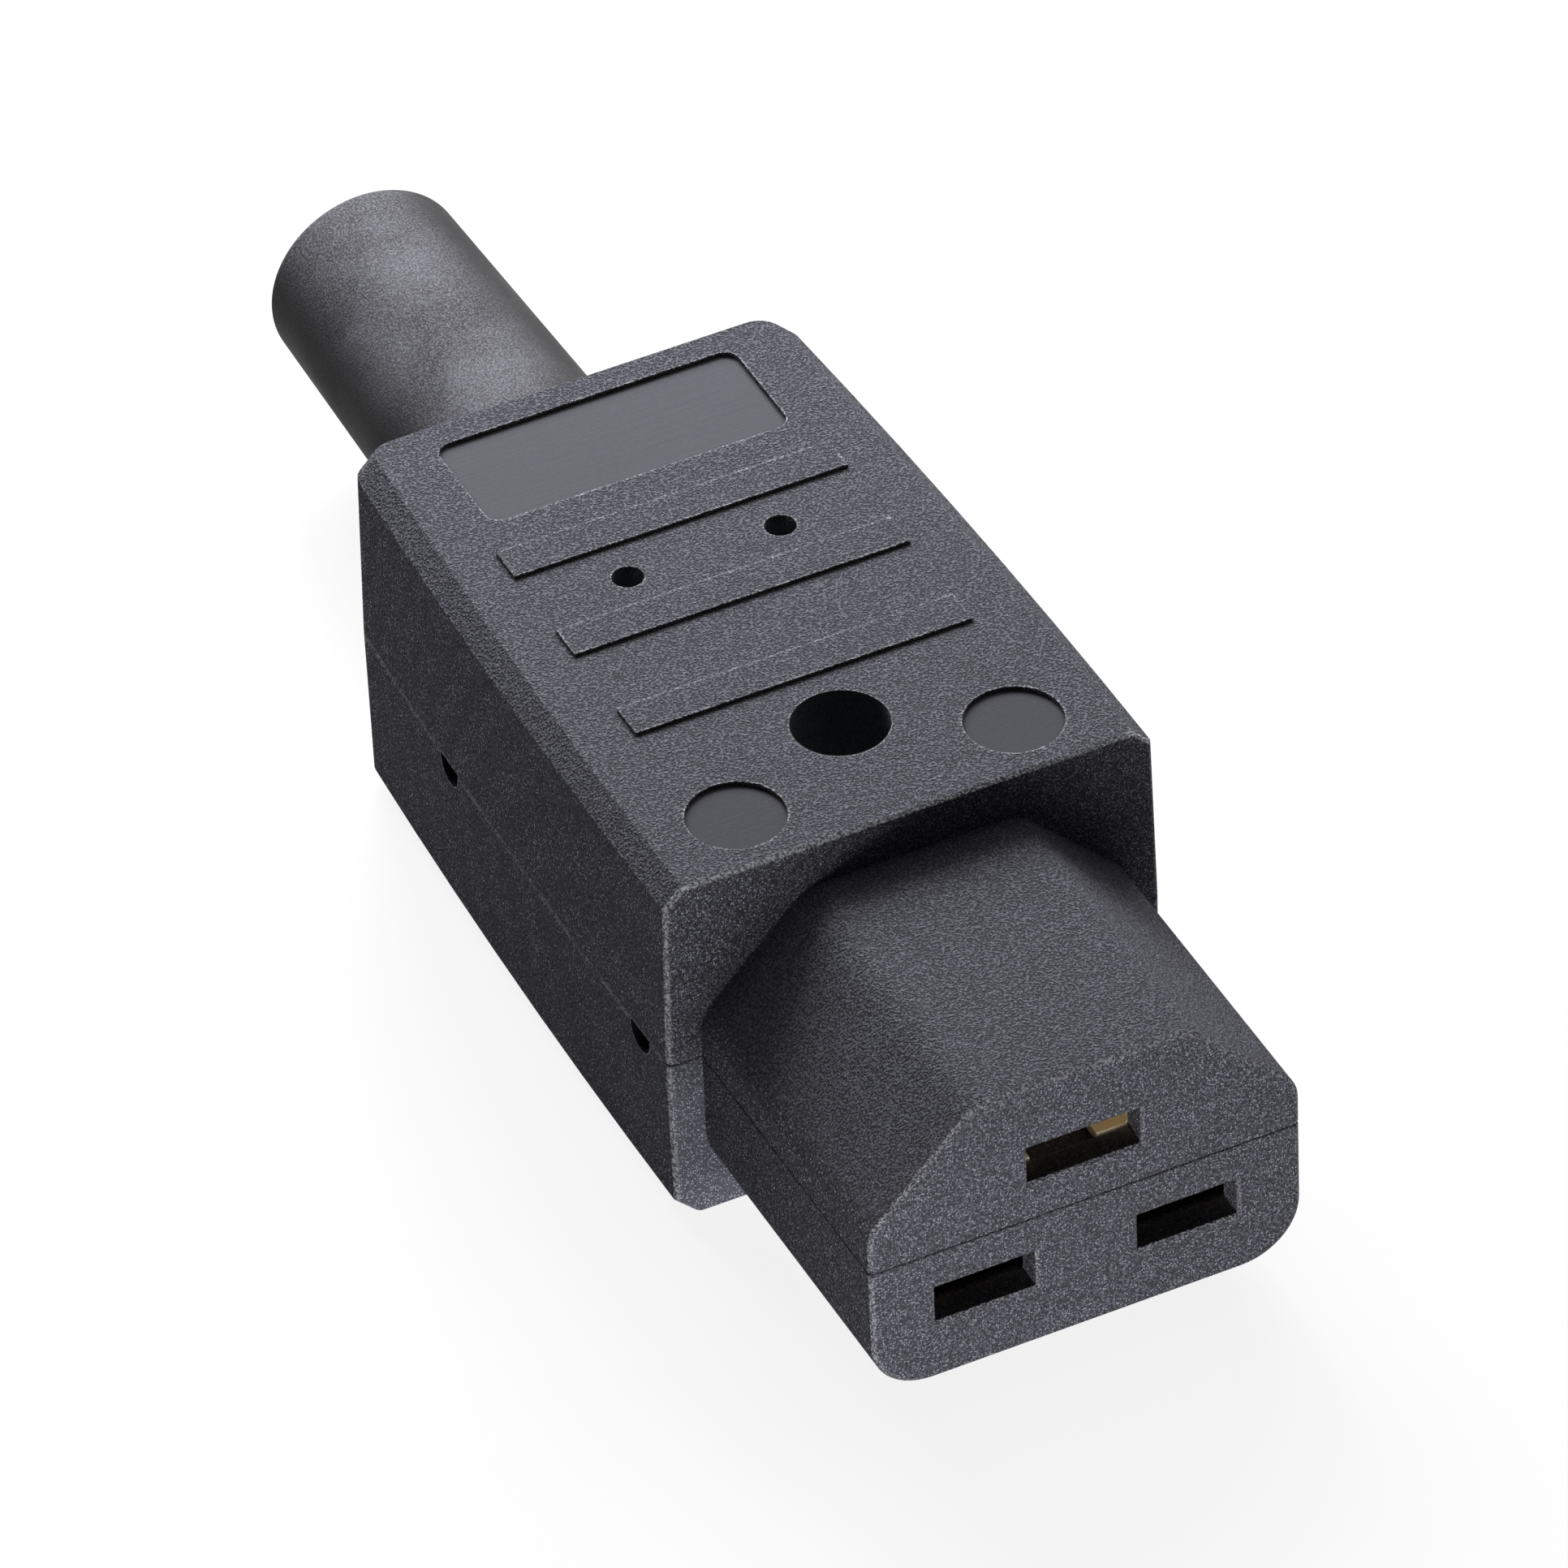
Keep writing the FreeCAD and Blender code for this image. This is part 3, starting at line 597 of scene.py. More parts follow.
    def flecks_glints_and_bounce(self, graph: Graph, site: Site, skin: Socket, flecks: Socket) -> Socket:
        """Lay specks over the skin: filler, and painted glints that are few on level faces and brightest at
        the sides; on the lower front, denser specks and a paler skin are painted bounce light.

        Args:
            graph: The material's tree.
            site: The shaded point.
            skin: Colour of the skin.
            flecks: Mask of the specks.

        Returns:
            The colour.
        """
        aside = self.side_mask(graph, site)
        front = self.flange_mask(graph, site)
        low = graph.ramp(self.above_parting(graph, site), *reversed(self.floor_bounce_heights))
        # Painted glints: few specks on level faces, sparser and brighter ones at the sides
        shown = graph.product(flecks, graph.ramp(site.facing["Z"], *self.upright, 1.0, self.level_glint_share))
        shown = graph.math("POWER", shown, graph.math("MULTIPLY_ADD", aside, self.side_sparse, 1.0))
        # Painted bounce light: denser specks on the lower front
        dense = graph.math("MULTIPLY", shown, graph.ramp(low, 0.0, 1.0, 1.0, self.low_bounce_flecks), clamp=True)
        shown = graph.math("ADD", graph.product(dense, front), graph.product(shown, graph.rest(front)))
        specks = graph.mix(aside, opaque(self.fleck), opaque(self.side_glint))
        specks = graph.mix(front, specks, opaque(self.front_glint_and_bounce))
        skin = graph.mix(shown, skin, specks)
        # Painted bounce light: the lower front of the body made paler
        return graph.mix(graph.product(front, low, self.low_bounce_pale), skin, opaque(self.front_glint_and_bounce))

    def recess_mask(self, graph: Graph, site: Site) -> Socket:
        """A mask that is 1 on the floors of the shallow recesses on top."""
        level = graph.math("COMPARE", site.at["Z"], self.recess_level, self.level_play)
        return graph.product(level, graph.math("GREATER_THAN", site.facing["Z"], LEVEL))

    def cut_marks(self, graph: Graph, site: Site) -> Socket:
        """Height of the fine lines that a cutter left across the mould of the recesses, from 0 to 1."""
        drawn = graph.stretch(site.place, self.mark_stretch)
        return graph.ramp(graph.noise(drawn, self.tool_marks, self.mark_detail), *self.mark_spread)

    def recess_floor(self, graph: Graph, site: Site, marks: Socket) -> Socket:
        """Colour of the recesses' floors, darker in the round ones at the front.

        Args:
            graph: The material's tree.
            site: The shaded point.
            marks: Height of the cutter's lines.

        Returns:
            The colour.
        """
        ahead = graph.math("LESS_THAN", site.at["Y"], self.flange + self.disc_field)
        floor = graph.mix(ahead, opaque(self.cut), opaque(self.disc))
        return graph.mix(graph.product(marks, self.mark_tone), floor, opaque(self.dark))

    def parted(self, graph: Graph, site: Site, colour: Socket, painted_glints: Socket) -> Socket:
        """Draw the parting line, dark, and with an uneven painted highlight along it on the sides of the
        body.

        Args:
            graph: The material's tree.
            site: The shaded point.
            colour: Colour without the line.
            painted_glints: Share of the painted highlight that shows on each pebble.

        Returns:
            The colour.
        """
        off = graph.math("ABSOLUTE", self.above_parting(graph, site))
        colour = graph.mix(graph.ramp(off, *self.seam, 0.0, self.seam_share), colour, opaque(self.shade))
        behind = graph.math("GREATER_THAN", site.at["Y"], self.flange)
        dashes = graph.ramp(graph.noise(site.place, self.dashes, self.dash_detail), *self.dash_spread,
                            self.dash_faintest, 1.0)
        # Painted highlight beside the parting line, broken into dashes
        lit = graph.product(graph.ramp(off, *self.lit_edge), painted_glints, self.side_mask(graph, site), behind,
                            dashes)
        return graph.mix(lit, colour, opaque(self.lit_seam))

    def notch_mask(self, graph: Graph, site: Site) -> Socket:
        """Find the insides of the pry notches under the parting line.

        Args:
            graph: The material's tree.
            site: The shaded point.

        Returns:
            A mask that is 1 in the notches.
        """
        half = self.notch_height / 2
        first, second = (graph.math("COMPARE", site.at["Y"], y, self.notch_half) for y in self.notches)
        tall = graph.math("COMPARE", site.at["Z"], self.parting - half, half + self.notch_play)
        wall = graph.math("LESS_THAN", site.sideways, self.notch_wall)
        back = graph.math("LESS_THAN", site.off_middle, self.notch_floor)
        return graph.product(graph.math("MAXIMUM", first, second), tall, graph.math("MAXIMUM", wall, back))

    def bore_mask(self, graph: Graph, site: Site) -> Socket:
        """Find the inside of the hole over the housing screw.

        Args:
            graph: The material's tree.
            site: The shaded point.

        Returns:
            A mask that is 1 in the hole.
        """
        across = graph.math("SUBTRACT", site.at["X"], self.bore[0])
        along = graph.math("SUBTRACT", site.at["Y"], self.bore[1])
        squares = graph.math("MULTIPLY_ADD", along, along, graph.product(across, across))
        return graph.math("LESS_THAN", squares, self.bore_radius ** 2)

    def inside(self, graph: Graph, site: Site) -> Socket:
        """Flat colours for the insides of holes, paler in the slots of the contact face as painted light."""
        ahead = graph.math("LESS_THAN", site.at["Y"], self.flange)
        return graph.mix(ahead, opaque(self.hole), opaque(self.slot))

    def rub_and_glint_mask(self, graph: Graph, site: Site, wear: Socket) -> Socket:
        """Find the pale edges, partly rubbed wear and partly painted highlight: those that stand out, and the
        slants and round corners beside a front face, painted as highlights.

        Args:
            graph: The material's tree.
            site: The shaded point.
            wear: Wear of the edges that stand out.

        Returns:
            A mask that is up to 1 on the outer rims, and lower on other edges and along the parting line.
        """
        turned = graph.ramp(site.facing["Y"], *self.slant_start)
        slants = graph.product(turned, graph.ramp(site.facing["Y"], *self.slant_end, 0.0, self.slant_glint))
        off = graph.math("ABSOLUTE", self.above_parting(graph, site))
        beside = graph.ramp(off, *self.seam_strip, 0.0, self.seam_calm)
        return graph.product(graph.math("MAXIMUM", wear, slants), self.rim_mask(graph, site),
                             graph.rest(beside))

    def rim_mask(self, graph: Graph, site: Site) -> Socket:
        """Tell the body's outer rims from the edges on top, on the nose and at the slots, rubbed less.

        Args:
            graph: The material's tree.
            site: The shaded point.

        Returns:
            A mask that is 1 on the outer rims and low on the other edges.
        """
        width, height = self.slot_field
        ahead = graph.math("LESS_THAN", site.at["Y"], self.flange)
        slots = graph.product(graph.math("LESS_THAN", site.off_middle, width),
                              graph.math("COMPARE", site.at["Z"], self.parting, height), ahead)
        level = graph.product(graph.math("GREATER_THAN", site.at["Z"], self.level_edges),
                              graph.math("GREATER_THAN", site.at["Y"], self.flange + self.front_rim))
        calm = graph.math("MAXIMUM", graph.product(ahead, self.nose_calm),
                          graph.product(level, self.level_calm))
        return graph.rest(graph.math("MAXIMUM", calm, graph.product(slots, self.slot_calm)))


@dataclass(frozen=True)
class SatinBoot:
    """Satin rubber, finely grained, polished in patches by handling, with a painted sheen along its upper
    side.
    """

    # Painted sheen: colour along the upper side
    sheen_crest: Colour = (0.222, 0.221, 0.256)
    colour: Colour = (0.044, 0.042, 0.041)
    dark: Colour = (0.034, 0.034, 0.036)
    fleck: Colour = (0.45, 0.44, 0.42)
    roughness: float = 0.52
    polish: float = 0.10
    specular: float = 0.02
    pebbles: float = 8000.0
    fine: float = 0.6
    grain_share: float = 0.80
    depth: float = 0.014 * MM
    fleck_cells: float = 520.0
    fleck_radius: float = 0.06
    fleck_share: float = 0.2
    patches: float = 160.0
    patch_detail: float = 3.0
    patch_spread: Pair = (0.35, 0.7)
    # Direction and spread of the painted sheen
    sheen_side: tuple[float, float, float] = (-0.30, 0.0, 0.954)
    painted_sheen: Pair = (0.48, 0.98)

    def material(self, effects: Effects) -> bpy.types.Material:
        """Build the finish.

        Args:
            effects: The shared effects.

        Returns:
            The material.
        """
        made, graph = new_material("satin boot")
        grain = effects.grain.place(graph, Pebbles=self.pebbles, Fine=self.fine)
        flecks = effects.flecks.place(graph, Cells=self.fleck_cells, Radius=self.fleck_radius,
                                      Share=self.fleck_share)["Mask"]
        patches = graph.noise(graph.place(), self.patches, self.patch_detail)
        polish = graph.ramp(patches, *self.patch_spread)
        tone = graph.math("MULTIPLY_ADD", grain["Tone"], self.grain_share,
                          graph.product(polish, 1.0 - self.grain_share))
        # Painted sheen: faces turned up and a little to one side are paler, as if they caught the lamps
        facing = graph.add("ShaderNodeNewGeometry").outputs["Normal"]
        toward = graph.add("ShaderNodeVectorMath", {0: facing, 1: self.sheen_side}, operation="DOT_PRODUCT")
        painted_sheen = graph.ramp(toward.outputs["Value"], *self.painted_sheen)
        light = graph.mix(painted_sheen, opaque(self.colour), opaque(self.sheen_crest))
        colour = graph.mix(tone, opaque(self.dark), light)
        colour = graph.mix(flecks, colour, opaque(self.fleck))
        gloss = graph.math("MULTIPLY_ADD", polish, -self.polish, self.roughness)
        graph.surface({"Base Color": colour, "Roughness": gloss, "Specular IOR Level": self.specular,
                       "Normal": graph.bump(grain["Height"], self.depth)})
        return made


@dataclass(frozen=True)
class PlainMoulding:
    """Darker unfilled plastic of the cord clamp."""

    colour: Colour = (0.05, 0.05, 0.055)
    dark: Colour = (0.035, 0.035, 0.04)
    fleck: Colour = (0.2, 0.2, 0.2)
    roughness: float = 0.5
    specular: float = 0.2
    pebbles: float = 5200.0
    fine: float = 0.3
    depth: float = 0.008 * MM
    fleck_cells: float = 1500.0
    fleck_radius: float = 0.1
    fleck_share: float = 0.1
    edge_radius: float = 0.2 * MM
    rub_patches: float = 700.0

    def material(self, effects: Effects) -> bpy.types.Material:
        """Build the finish.

        Args:
            effects: The shared effects.

        Returns:
            The material.
        """
        made, graph = new_material("plain moulding")
        grain = effects.grain.place(graph, Pebbles=self.pebbles, Fine=self.fine)
        flecks = effects.flecks.place(graph, Cells=self.fleck_cells, Radius=self.fleck_radius,
                                      Share=self.fleck_share)["Mask"]
        edges = effects.edges.place(graph, Radius=self.edge_radius, Reach=self.edge_radius,
                                    Patches=self.rub_patches)
        colour = graph.mix(grain["Tone"], opaque(self.dark), opaque(self.colour))
        colour = graph.mix(flecks, colour, opaque(self.fleck))
        graph.surface({"Base Color": colour, "Roughness": self.roughness, "Specular IOR Level": self.specular,
                       "Normal": graph.bump(grain["Height"], self.depth, edges["Normal"])})
        return made


@dataclass(frozen=True)
class Metal:
    """Sheet or turned metal with drawn lines, dull patches and bright edges."""

    title: str
    colour: Colour
    dull: Colour
    bright: Colour
    roughness: float
    rougher: float
    lines: float = 2600.0
    patches: float = 420.0
    depth: float = 0.004 * MM
    edge_radius: float = 0.1 * MM
    rub_patches: float = 1200.0

    def material(self, effects: Effects) -> bpy.types.Material:
        """Build the finish.

        Args:
            effects: The shared effects.

        Returns:
            The material.
        """
        made, graph = new_material(self.title)
        drawn = effects.drawn.place(graph, Lines=self.lines, Patches=self.patches)
        edges = effects.edges.place(graph, Radius=self.edge_radius, Reach=self.edge_radius,
                                    Patches=self.rub_patches)
        colour = graph.mix(drawn["Dull"], opaque(self.colour), opaque(self.dull))
        colour = graph.mix(edges["Wear"], colour, opaque(self.bright))
        gloss = graph.ramp(drawn["Dull"], 0.0, 1.0, self.roughness, self.rougher)
        graph.surface({"Base Color": colour, "Metallic": 1.0, "Roughness": gloss,
                       "Normal": graph.bump(drawn["Height"], self.depth, edges["Normal"])})
        return made


BRASS = Metal("rolled brass", colour=(0.97, 0.86, 0.64), dull=(0.88, 0.74, 0.52), bright=(0.99, 0.93, 0.78),
              roughness=0.45, rougher=0.60)
ZINC = Metal("zinc plate", colour=(0.62, 0.62, 0.61), dull=(0.42, 0.42, 0.43), bright=(0.82, 0.82, 0.80),
             roughness=0.28, rougher=0.48)


# Screws


def pick_faces(piece: bpy.types.Object, test: Callable[[Vector], bool]) -> None:
    """Open a piece for editing with some of its faces selected.

    Args:
        piece: The piece.
        test: Takes a face's normal, and tells whether the face is wanted.
    """
    bpy.context.view_layer.objects.active = piece
    bpy.ops.object.mode_set(mode="EDIT")
    bpy.ops.mesh.select_mode(type="FACE")
    bpy.ops.mesh.select_all(action="DESELECT")
    bpy.ops.object.mode_set(mode="OBJECT")
    for face in piece.data.polygons:
        face.select = test(face.normal)
    bpy.ops.object.mode_set(mode="EDIT")


def apply_modifier(piece: bpy.types.Object, kind: str, **settings: object) -> None:
    """Add a modifier to a piece and apply it.

    Args:
        piece: The piece.
        kind: Type of the modifier.
        settings: Properties of the modifier.
    """
    bpy.context.view_layer.objects.active = piece
    modifier = piece.modifiers.new(kind.lower(), kind)
    for name, value in settings.items():
        setattr(modifier, name, value)
    bpy.ops.object.modifier_apply(modifier=modifier.name)


@dataclass
class ThreadedScrew:
    """A slotted screw with a raised thread, built where its plain solid stands."""

    node: str
    thread_radius: float
    pitch: float
    head_height: float
    tip_length: float
    tip_radius: float
    head_up: bool = True
    core_share: float = 0.80
    ridge_root: float = 0.5
    ridge_share: float = 0.94
    ridge_corners: int = 4
    rim: float = 0.40 * MM
    rim_steps: int = 3
    slot_width: float = 0.90 * MM
    slot_depth: float = 1.10 * MM
    neck: float = 0.60 * MM
    sides: int = 40
    crease: float = 35.0

    def build(self) -> bpy.types.Object:
        """Model the screw head up at the origin, then set it where the solid stands.

        Returns:
            The screw.
        """
        low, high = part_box(self.node)
        head_radius = (high.x - low.x) / 2
        length = high.z - low.z
        body = self.blank(head_radius, length)
        self.cut_slot(body, head_radius)
        thread = self.thread(length)
        bpy.ops.object.select_all(action="DESELECT")
        thread.select_set(True)
        body.select_set(True)
        bpy.context.view_layer.objects.active = body
        bpy.ops.object.join()
        bpy.ops.object.mode_set(mode="EDIT")
        bpy.ops.mesh.select_all(action="SELECT")
        if not self.head_up:
            bpy.ops.transform.rotate(value=math.pi, orient_axis="X", center_override=(0.0, 0.0, 0.0))
        seat = high.z if self.head_up else low.z
        bpy.ops.transform.translate(value=((low.x + high.x) / 2, (low.y + high.y) / 2, seat))
        bpy.ops.object.mode_set(mode="OBJECT")
        bpy.ops.object.shade_smooth_by_angle(angle=math.radians(self.crease))
        body.name = f"threaded_{self.node}"
        return body

    def blank(self, head_radius: float, length: float) -> bpy.types.Object:
        """Turn the head, the core of the shank and the tip from one bar.

        Args:
            head_radius: Radius of the head.
            length: Length of the whole screw.

        Returns:
            The blank, with the top of its head at the origin.
        """
        core = self.thread_radius * self.core_share
        bpy.ops.mesh.primitive_cylinder_add(vertices=self.sides, radius=head_radius, depth=self.head_height,
                                            location=(0.0, 0.0, -self.head_height / 2))
        blank = bpy.context.object
        bpy.ops.object.transform_apply()
        pick_faces(blank, lambda normal: normal.z > LEVEL)
        bpy.ops.mesh.bevel(offset=self.rim, segments=self.rim_steps, affect="EDGES")
        bpy.ops.object.mode_set(mode="OBJECT")
        pick_faces(blank, lambda normal: normal.z < -LEVEL)
        bpy.ops.mesh.inset(thickness=head_radius - core)
        run = length - self.head_height - self.tip_length
        for step in (run, self.tip_length):
            bpy.ops.mesh.extrude_region_move(TRANSFORM_OT_translate={"value": (0.0, 0.0, -step)})
        share = self.tip_radius / core
        bpy.ops.transform.resize(value=(share, share, 1.0))
        bpy.ops.object.mode_set(mode="OBJECT")
        return blank

    def cut_slot(self, body: bpy.types.Object, head_radius: float) -> None:
        """Cut the driver's slot across the head.

        Args:
            body: The blank.
            head_radius: Radius of the head.
        """
        bpy.ops.object.select_all(action="DESELECT")
        bpy.ops.mesh.primitive_cube_add(size=1.0,
                                        scale=(4 * head_radius, self.slot_width, 2 * self.slot_depth))
        cutter = bpy.context.object
        bpy.ops.object.transform_apply()
        apply_modifier(body, "BOOLEAN", operation="DIFFERENCE", solver="EXACT", object=cutter)
        bpy.data.objects.remove(cutter)

    def thread(self, length: float) -> bpy.types.Object:
        """Wind a ridge round the core.

        Args:
            length: Length of the whole screw.

        Returns:
            The ridge, closed at both ends.
        """
        core = self.thread_radius * self.core_share
        root = core - self.ridge_root * (self.thread_radius - core)
        turns = int((length - self.head_height - self.tip_length - self.neck) / self.pitch)
        start = -(length - self.tip_length)
        bpy.ops.object.select_all(action="DESELECT")
        bpy.ops.mesh.primitive_circle_add(vertices=self.ridge_corners, radius=0.5, fill_type="NOTHING",
                                          rotation=(math.pi / 2, 0.0, 0.0))
        wound = bpy.context.object
        bpy.ops.object.transform_apply()
        bpy.ops.object.mode_set(mode="EDIT")
        bpy.ops.mesh.select_all(action="SELECT")
        bpy.ops.transform.resize(value=(2 * (self.thread_radius - root), 1.0, self.ridge_share * self.pitch))
        bpy.ops.transform.translate(value=(root, 0.0, start))
        bpy.ops.object.mode_set(mode="OBJECT")
        apply_modifier(wound, "SCREW", axis="Z", screw_offset=self.pitch, iterations=turns, steps=self.sides,
                       render_steps=self.sides, use_merge_vertices=False)
        bpy.ops.object.mode_set(mode="EDIT")
        bpy.ops.mesh.select_all(action="SELECT")
        bpy.ops.mesh.fill_holes(sides=0)
        bpy.ops.mesh.select_all(action="SELECT")
        bpy.ops.mesh.normals_make_consistent(inside=False)
        bpy.ops.object.mode_set(mode="OBJECT")
        return wound


TERMINAL_SIZES = {"thread_radius": 1.75 * MM, "pitch": 0.6 * MM, "head_height": 2.2 * MM,
                  "tip_length": 0.7 * MM, "tip_radius": 1.05 * MM}
CLAMP_SIZES = {"thread_radius": 1.1 * MM, "pitch": 0.8 * MM, "head_height": 1.8 * MM,
               "tip_length": 2.2 * MM, "tip_radius": 0.3 * MM}
SCREWS = (
    ThreadedScrew("housing_screw", thread_radius=1.5 * MM, pitch=0.5 * MM, head_height=2.2 * MM,
                  tip_length=0.7 * MM, tip_radius=0.8 * MM),
    ThreadedScrew("live_terminal_screw", **TERMINAL_SIZES),
    ThreadedScrew("neutral_terminal_screw", **TERMINAL_SIZES),
    ThreadedScrew("earth_terminal_screw", **TERMINAL_SIZES, head_up=False),
    ThreadedScrew("cord_clamp_screw_left", **CLAMP_SIZES, head_up=False),
    ThreadedScrew("cord_clamp_screw_right", **CLAMP_SIZES, head_up=False),
)


# Studio


def direction(azimuth: float, elevation: float) -> Vector:
    """The way to a point so many degrees round from straight ahead, and so many above the floor."""
    turn, rise = math.radians(azimuth), math.radians(elevation)
    return Vector((math.sin(turn) * math.cos(rise), -math.cos(turn) * math.cos(rise), math.sin(rise)))


@dataclass(frozen=True)
class Softbox:
    """A flat lamp that faces the connector."""

    name: str
    azimuth: float
    elevation: float
    distance: float
    width: float
    height: float
    watts: float

    def build(self, target: Vector) -> bpy.types.Object:
        """Set the lamp up.

        Args:
            target: Point that it faces.

        Returns:
            The lamp.
        """
        way = direction(self.azimuth, self.elevation)
        bpy.ops.object.light_add(type="AREA", location=target + way * self.distance,
                                 rotation=way.to_track_quat("Z", "Y").to_euler())
        lamp = bpy.context.object
        lamp.name = self.name
        lamp.data.shape = "RECTANGLE"
        lamp.data.size = self.width
        lamp.data.size_y = self.height
        lamp.data.energy = self.watts
        lamp.visible_camera = False
        return lamp


@dataclass(frozen=True)
class Viewpoint:
    """The photograph's camera, found from the connector's own edges."""

    azimuth: float = -24.7324
    elevation: float = 40.0705
    roll: float = -2.4738
    distance: float = 847.321 * MM
    aside: float = 6.1664 * MM
    below: float = -9.564 * MM
    focal_pixels: float = 17921.08
    behind_face: float = 25.0 * MM
    sensor: float = 36.0
    nearest: float = 10.0 * MM

    def build(self, face: float, parting: float) -> bpy.types.Object:
        """Set the camera up.

        Args:
            face: Place of the contact face along the connector.
            parting: Height of the parting plane.

        Returns:
            The camera.
        """
        turn, tilt = math.radians(self.azimuth), math.radians(self.roll)
        back = direction(self.azimuth, self.elevation)
        level = Vector((math.cos(turn), math.sin(turn), 0.0))
        upright = back.cross(level)
        right = level * math.cos(tilt) + upright * math.sin(tilt)
        up = upright * math.cos(tilt) - level * math.sin(tilt)
        target = Vector((0.0, face + self.behind_face, parting))
        eye = target + back * self.distance - right * self.aside - up * self.below
        bpy.ops.object.camera_add()
        camera = bpy.context.object
        camera.matrix_world = Matrix.Translation(eye) @ Matrix((right, up, back)).transposed().to_4x4()
        camera.data.sensor_width = self.sensor
        camera.data.lens = self.focal_pixels / PHOTO_PIXELS * self.sensor
        camera.data.clip_start = self.nearest
        bpy.context.scene.camera = camera
        return camera


@dataclass(frozen=True)
class Studio:
    """Pale floor, soft lamps and a dim room that shows white behind the connector."""

    floor_side: float = 6.0
    floor_gap: float = 0.02 * MM
    floor_colour: Colour = (0.12, 0.12, 0.12)
    floor_glow: float = 0.87
    room_light: float = 0.01
    white: Colour = (1.0, 1.0, 1.0)
    rear: Softbox = Softbox("rear softbox", azimuth=180.0, elevation=35.0, distance=0.26, width=0.16,
                            height=0.16, watts=0.78)
    rear_right: Softbox = Softbox("rear right softbox", azimuth=150.0, elevation=42.0, distance=0.28,
                                  width=0.16, height=0.16, watts=0.74)
    above: Softbox = Softbox("top softbox", azimuth=100.0, elevation=68.0, distance=0.36, width=0.20,
                             height=0.20, watts=0.20)
    front: Softbox = Softbox("low front strip", azimuth=-16.0, elevation=-8.0, distance=0.065, width=0.08,
                             height=0.006, watts=0.052)

    def build(self, middle: Vector, face: Vector) -> None:
        """Set up the floor, the room and the lamps.

        Args:
            middle: Point that the lamps behind and above the connector face.
            face: Middle of the contact face, which the low strip faces.
        """
        self.floor()
        self.room()
        for softbox, target in ((self.rear, middle), (self.rear_right, middle), (self.above, middle),
                                (self.front, face)):
            LOG.info("lamp %s", softbox.build(target).name)

    def floor(self) -> bpy.types.Object:
        """Lay the floor just under the connector.

        Returns:
            The floor.
        """
        bpy.ops.mesh.primitive_plane_add(size=self.floor_side, location=(0.0, 0.0, -self.floor_gap))
        floor = bpy.context.object
        floor.name = "floor"
        made, graph = new_material("pale floor")
        matt = graph.add("ShaderNodeBsdfDiffuse", {"Color": opaque(self.floor_colour)})
        glow = graph.add("ShaderNodeEmission", {"Strength": self.floor_glow})
        seen = graph.add("ShaderNodeAddShader", {0: matt.outputs[0], 1: glow.outputs[0]})
        surface = graph.add("ShaderNodeMixShader", {0: seen_directly(graph), 1: matt.outputs[0],
                                                    2: seen.outputs[0]})
        graph.add("ShaderNodeOutputMaterial", {"Surface": surface.outputs[0]})
        floor.data.materials.append(made)
        floor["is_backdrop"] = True
        return floor

    def room(self) -> None:
        """Light the room dimly and show it white."""
        world = bpy.data.worlds.new("room")
        world.use_nodes = True
        graph = Graph(world.node_tree)
        dim, white = (graph.add("ShaderNodeBackground", {"Color": opaque(self.white), "Strength": strength})
                      for strength in (self.room_light, 1.0))
        surface = graph.add("ShaderNodeMixShader", {0: seen_directly(graph), 1: dim.outputs[0],
                                                    2: white.outputs[0]})
        graph.add("ShaderNodeOutputWorld", {"Surface": surface.outputs[0]})
        bpy.context.scene.world = world


def seen_directly(graph: Graph) -> Socket:
    """Tell whether a surface is seen, reflected or seen through, and doesn't just light others.

    Args:
        graph: Tree of a material or a world.

    Returns:
        A socket that is 1 for such rays.
    """
    path = graph.add("ShaderNodeLightPath").outputs
    mirrored = graph.math("MAXIMUM", path["Is Glossy Ray"], path["Is Transmission Ray"])
    return graph.math("MAXIMUM", path["Is Camera Ray"], mirrored)


# Connector


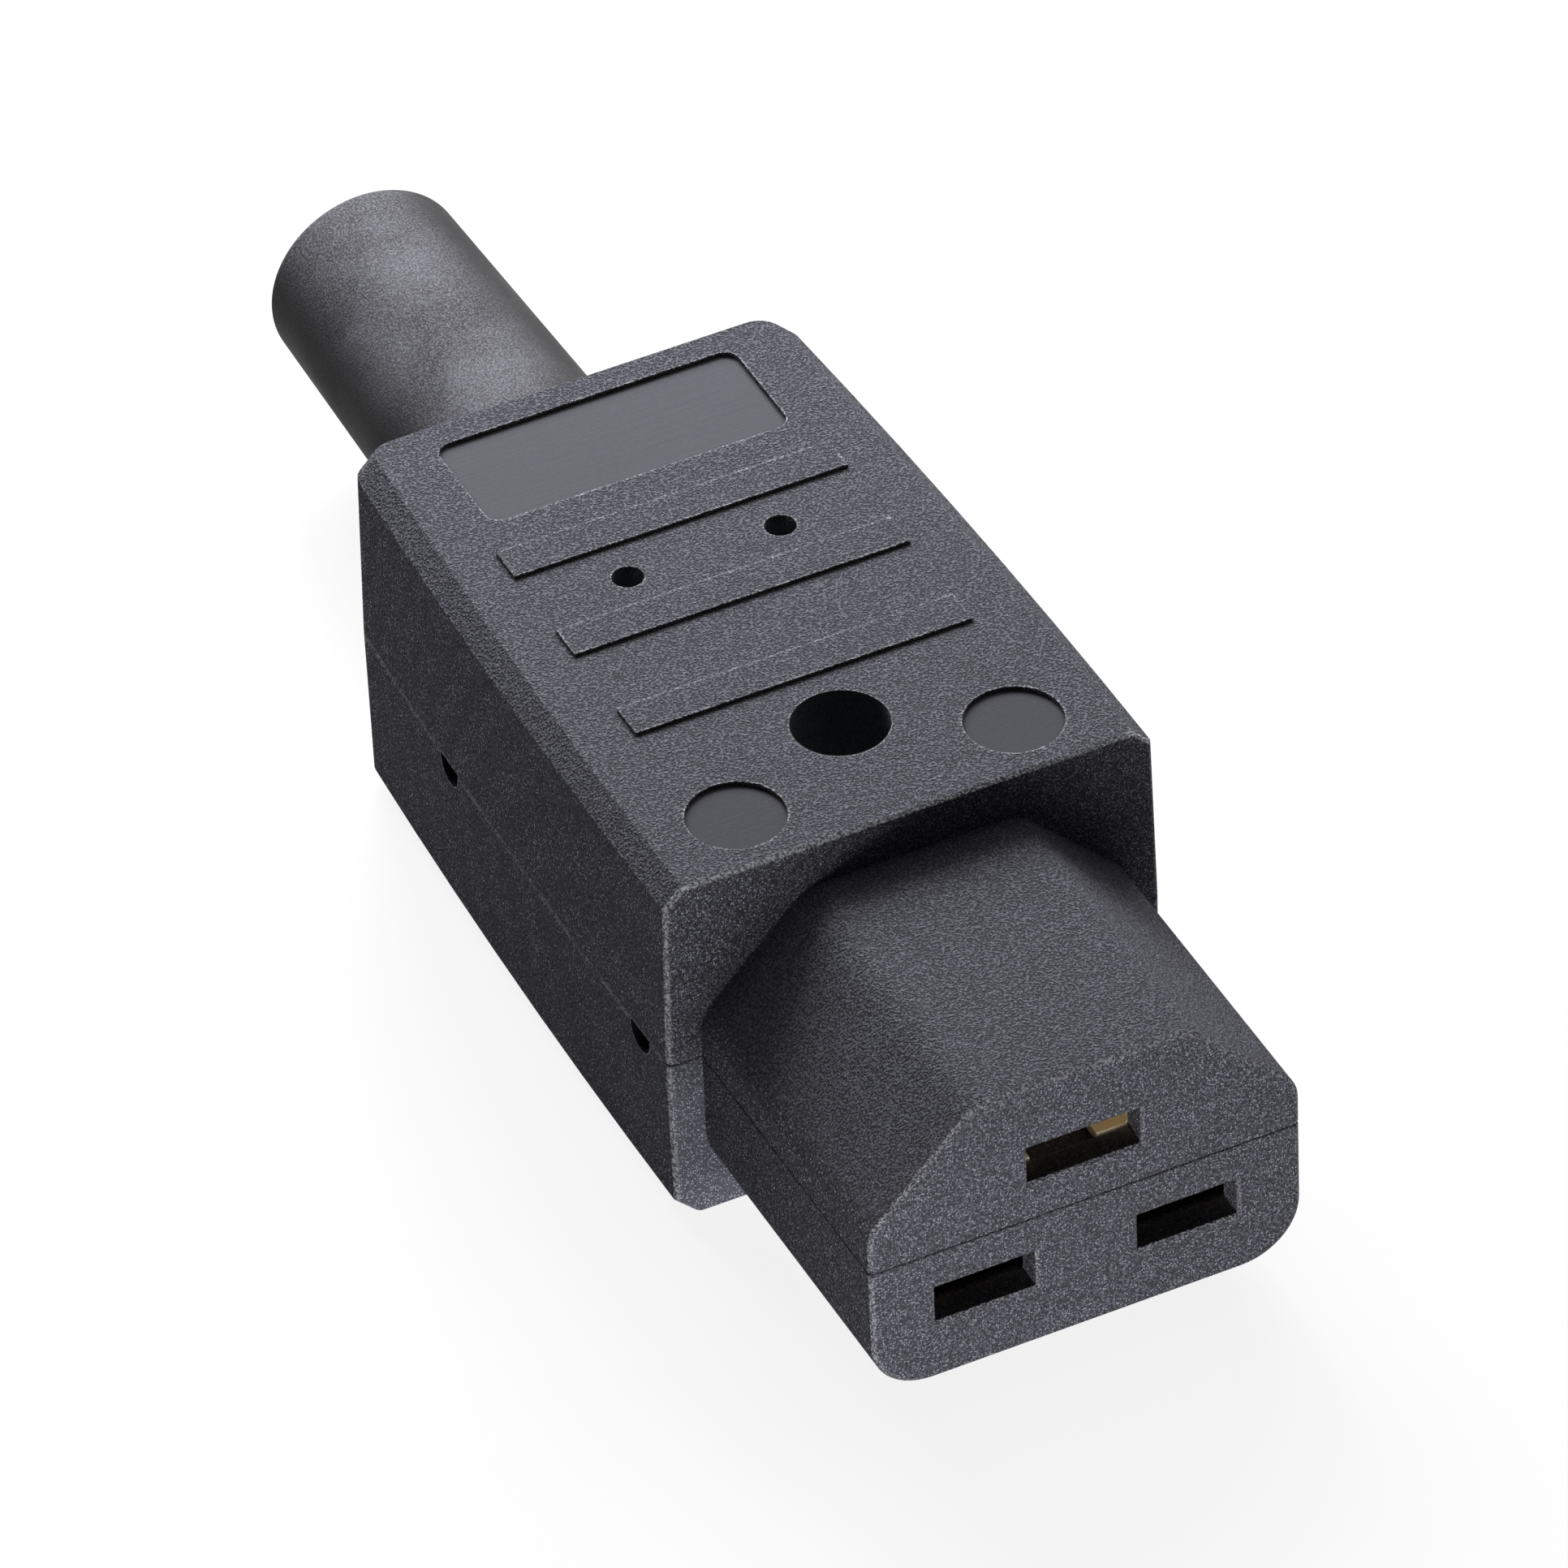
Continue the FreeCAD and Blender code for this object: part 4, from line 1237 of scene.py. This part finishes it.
@dataclass
class Connector:
    """The solids of the frame and the finishes that they wear."""

    rib_rise: float = 0.25 * MM
    recess_depth: float = 0.30 * MM
    nose_length: float = 21.6 * MM
    notch_setbacks: Pair = (3.8 * MM, 30.8 * MM)

    def dress(self, effects: Effects) -> None:
        """Give every solid the finish of its slot, and set the threaded screws in.

        Args:
            effects: The shared effects.
        """
        finishes = {
            Slot.SHELL: self.shell(),
            Slot.BOOT: SatinBoot(),
            Slot.CLAMP: PlainMoulding(),
            Slot.BRASS: BRASS,
            Slot.STEEL: ZINC,
        }
        materials = {slot: finish.material(effects) for slot, finish in finishes.items()}
        slots = {part["node"]: Slot(part["material_slot"]) for part in frame["record"]["subparts"]}
        for name, slot in slots.items():
            for holder in frame["nodes"][name].material_slots:
                holder.material = materials[slot]
            LOG.info("%s wears %s", name, slot.value)
        for screw in SCREWS:
            piece = screw.build()
            piece.data.materials.clear()
            piece.data.materials.append(materials[slots[screw.node]])
            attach(piece, "root")
            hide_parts(screw.node)
            LOG.info("%s stands for %s", piece.name, screw.node)

    def shell(self) -> MouldedShell:
        """Fit the shells' finish to their places in the frame.

        Returns:
            The finish.
        """
        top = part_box("upper_shell")[1].z
        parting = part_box("upper_shell")[0].z
        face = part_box("upper_shell")[0].y
        flange = face + self.nose_length
        screw_low, screw_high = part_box("housing_screw")
        axis = (screw_low + screw_high) / 2
        floors = top - self.rib_rise - self.recess_depth
        return MouldedShell(parting=parting, flange=flange, recess_level=floors,
                            level_edges=floors - self.recess_depth, bore=(axis.x, axis.y),
                            notches=tuple(flange + setback for setback in self.notch_setbacks))


def main() -> None:
    """Dress the connector, light it and set the camera up."""
    logging.basicConfig(level=logging.INFO, format="%(name)s: %(message)s")
    bpy.ops.object.select_all(action="DESELECT")
    cad_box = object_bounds()
    effects = Effects(Grain(), Flecks(), Edges(), Hollows(), Drawn())
    Connector().dress(effects)
    face = cad_box[0][1]
    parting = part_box("upper_shell")[0].z
    Studio().build(Vector((0.0, face / 2, parting)), Vector((0.0, face, parting)))
    Viewpoint().build(face, parting)
    bpy.context.scene.view_settings.view_transform = "Standard"


if __name__ == "__main__":
    main()
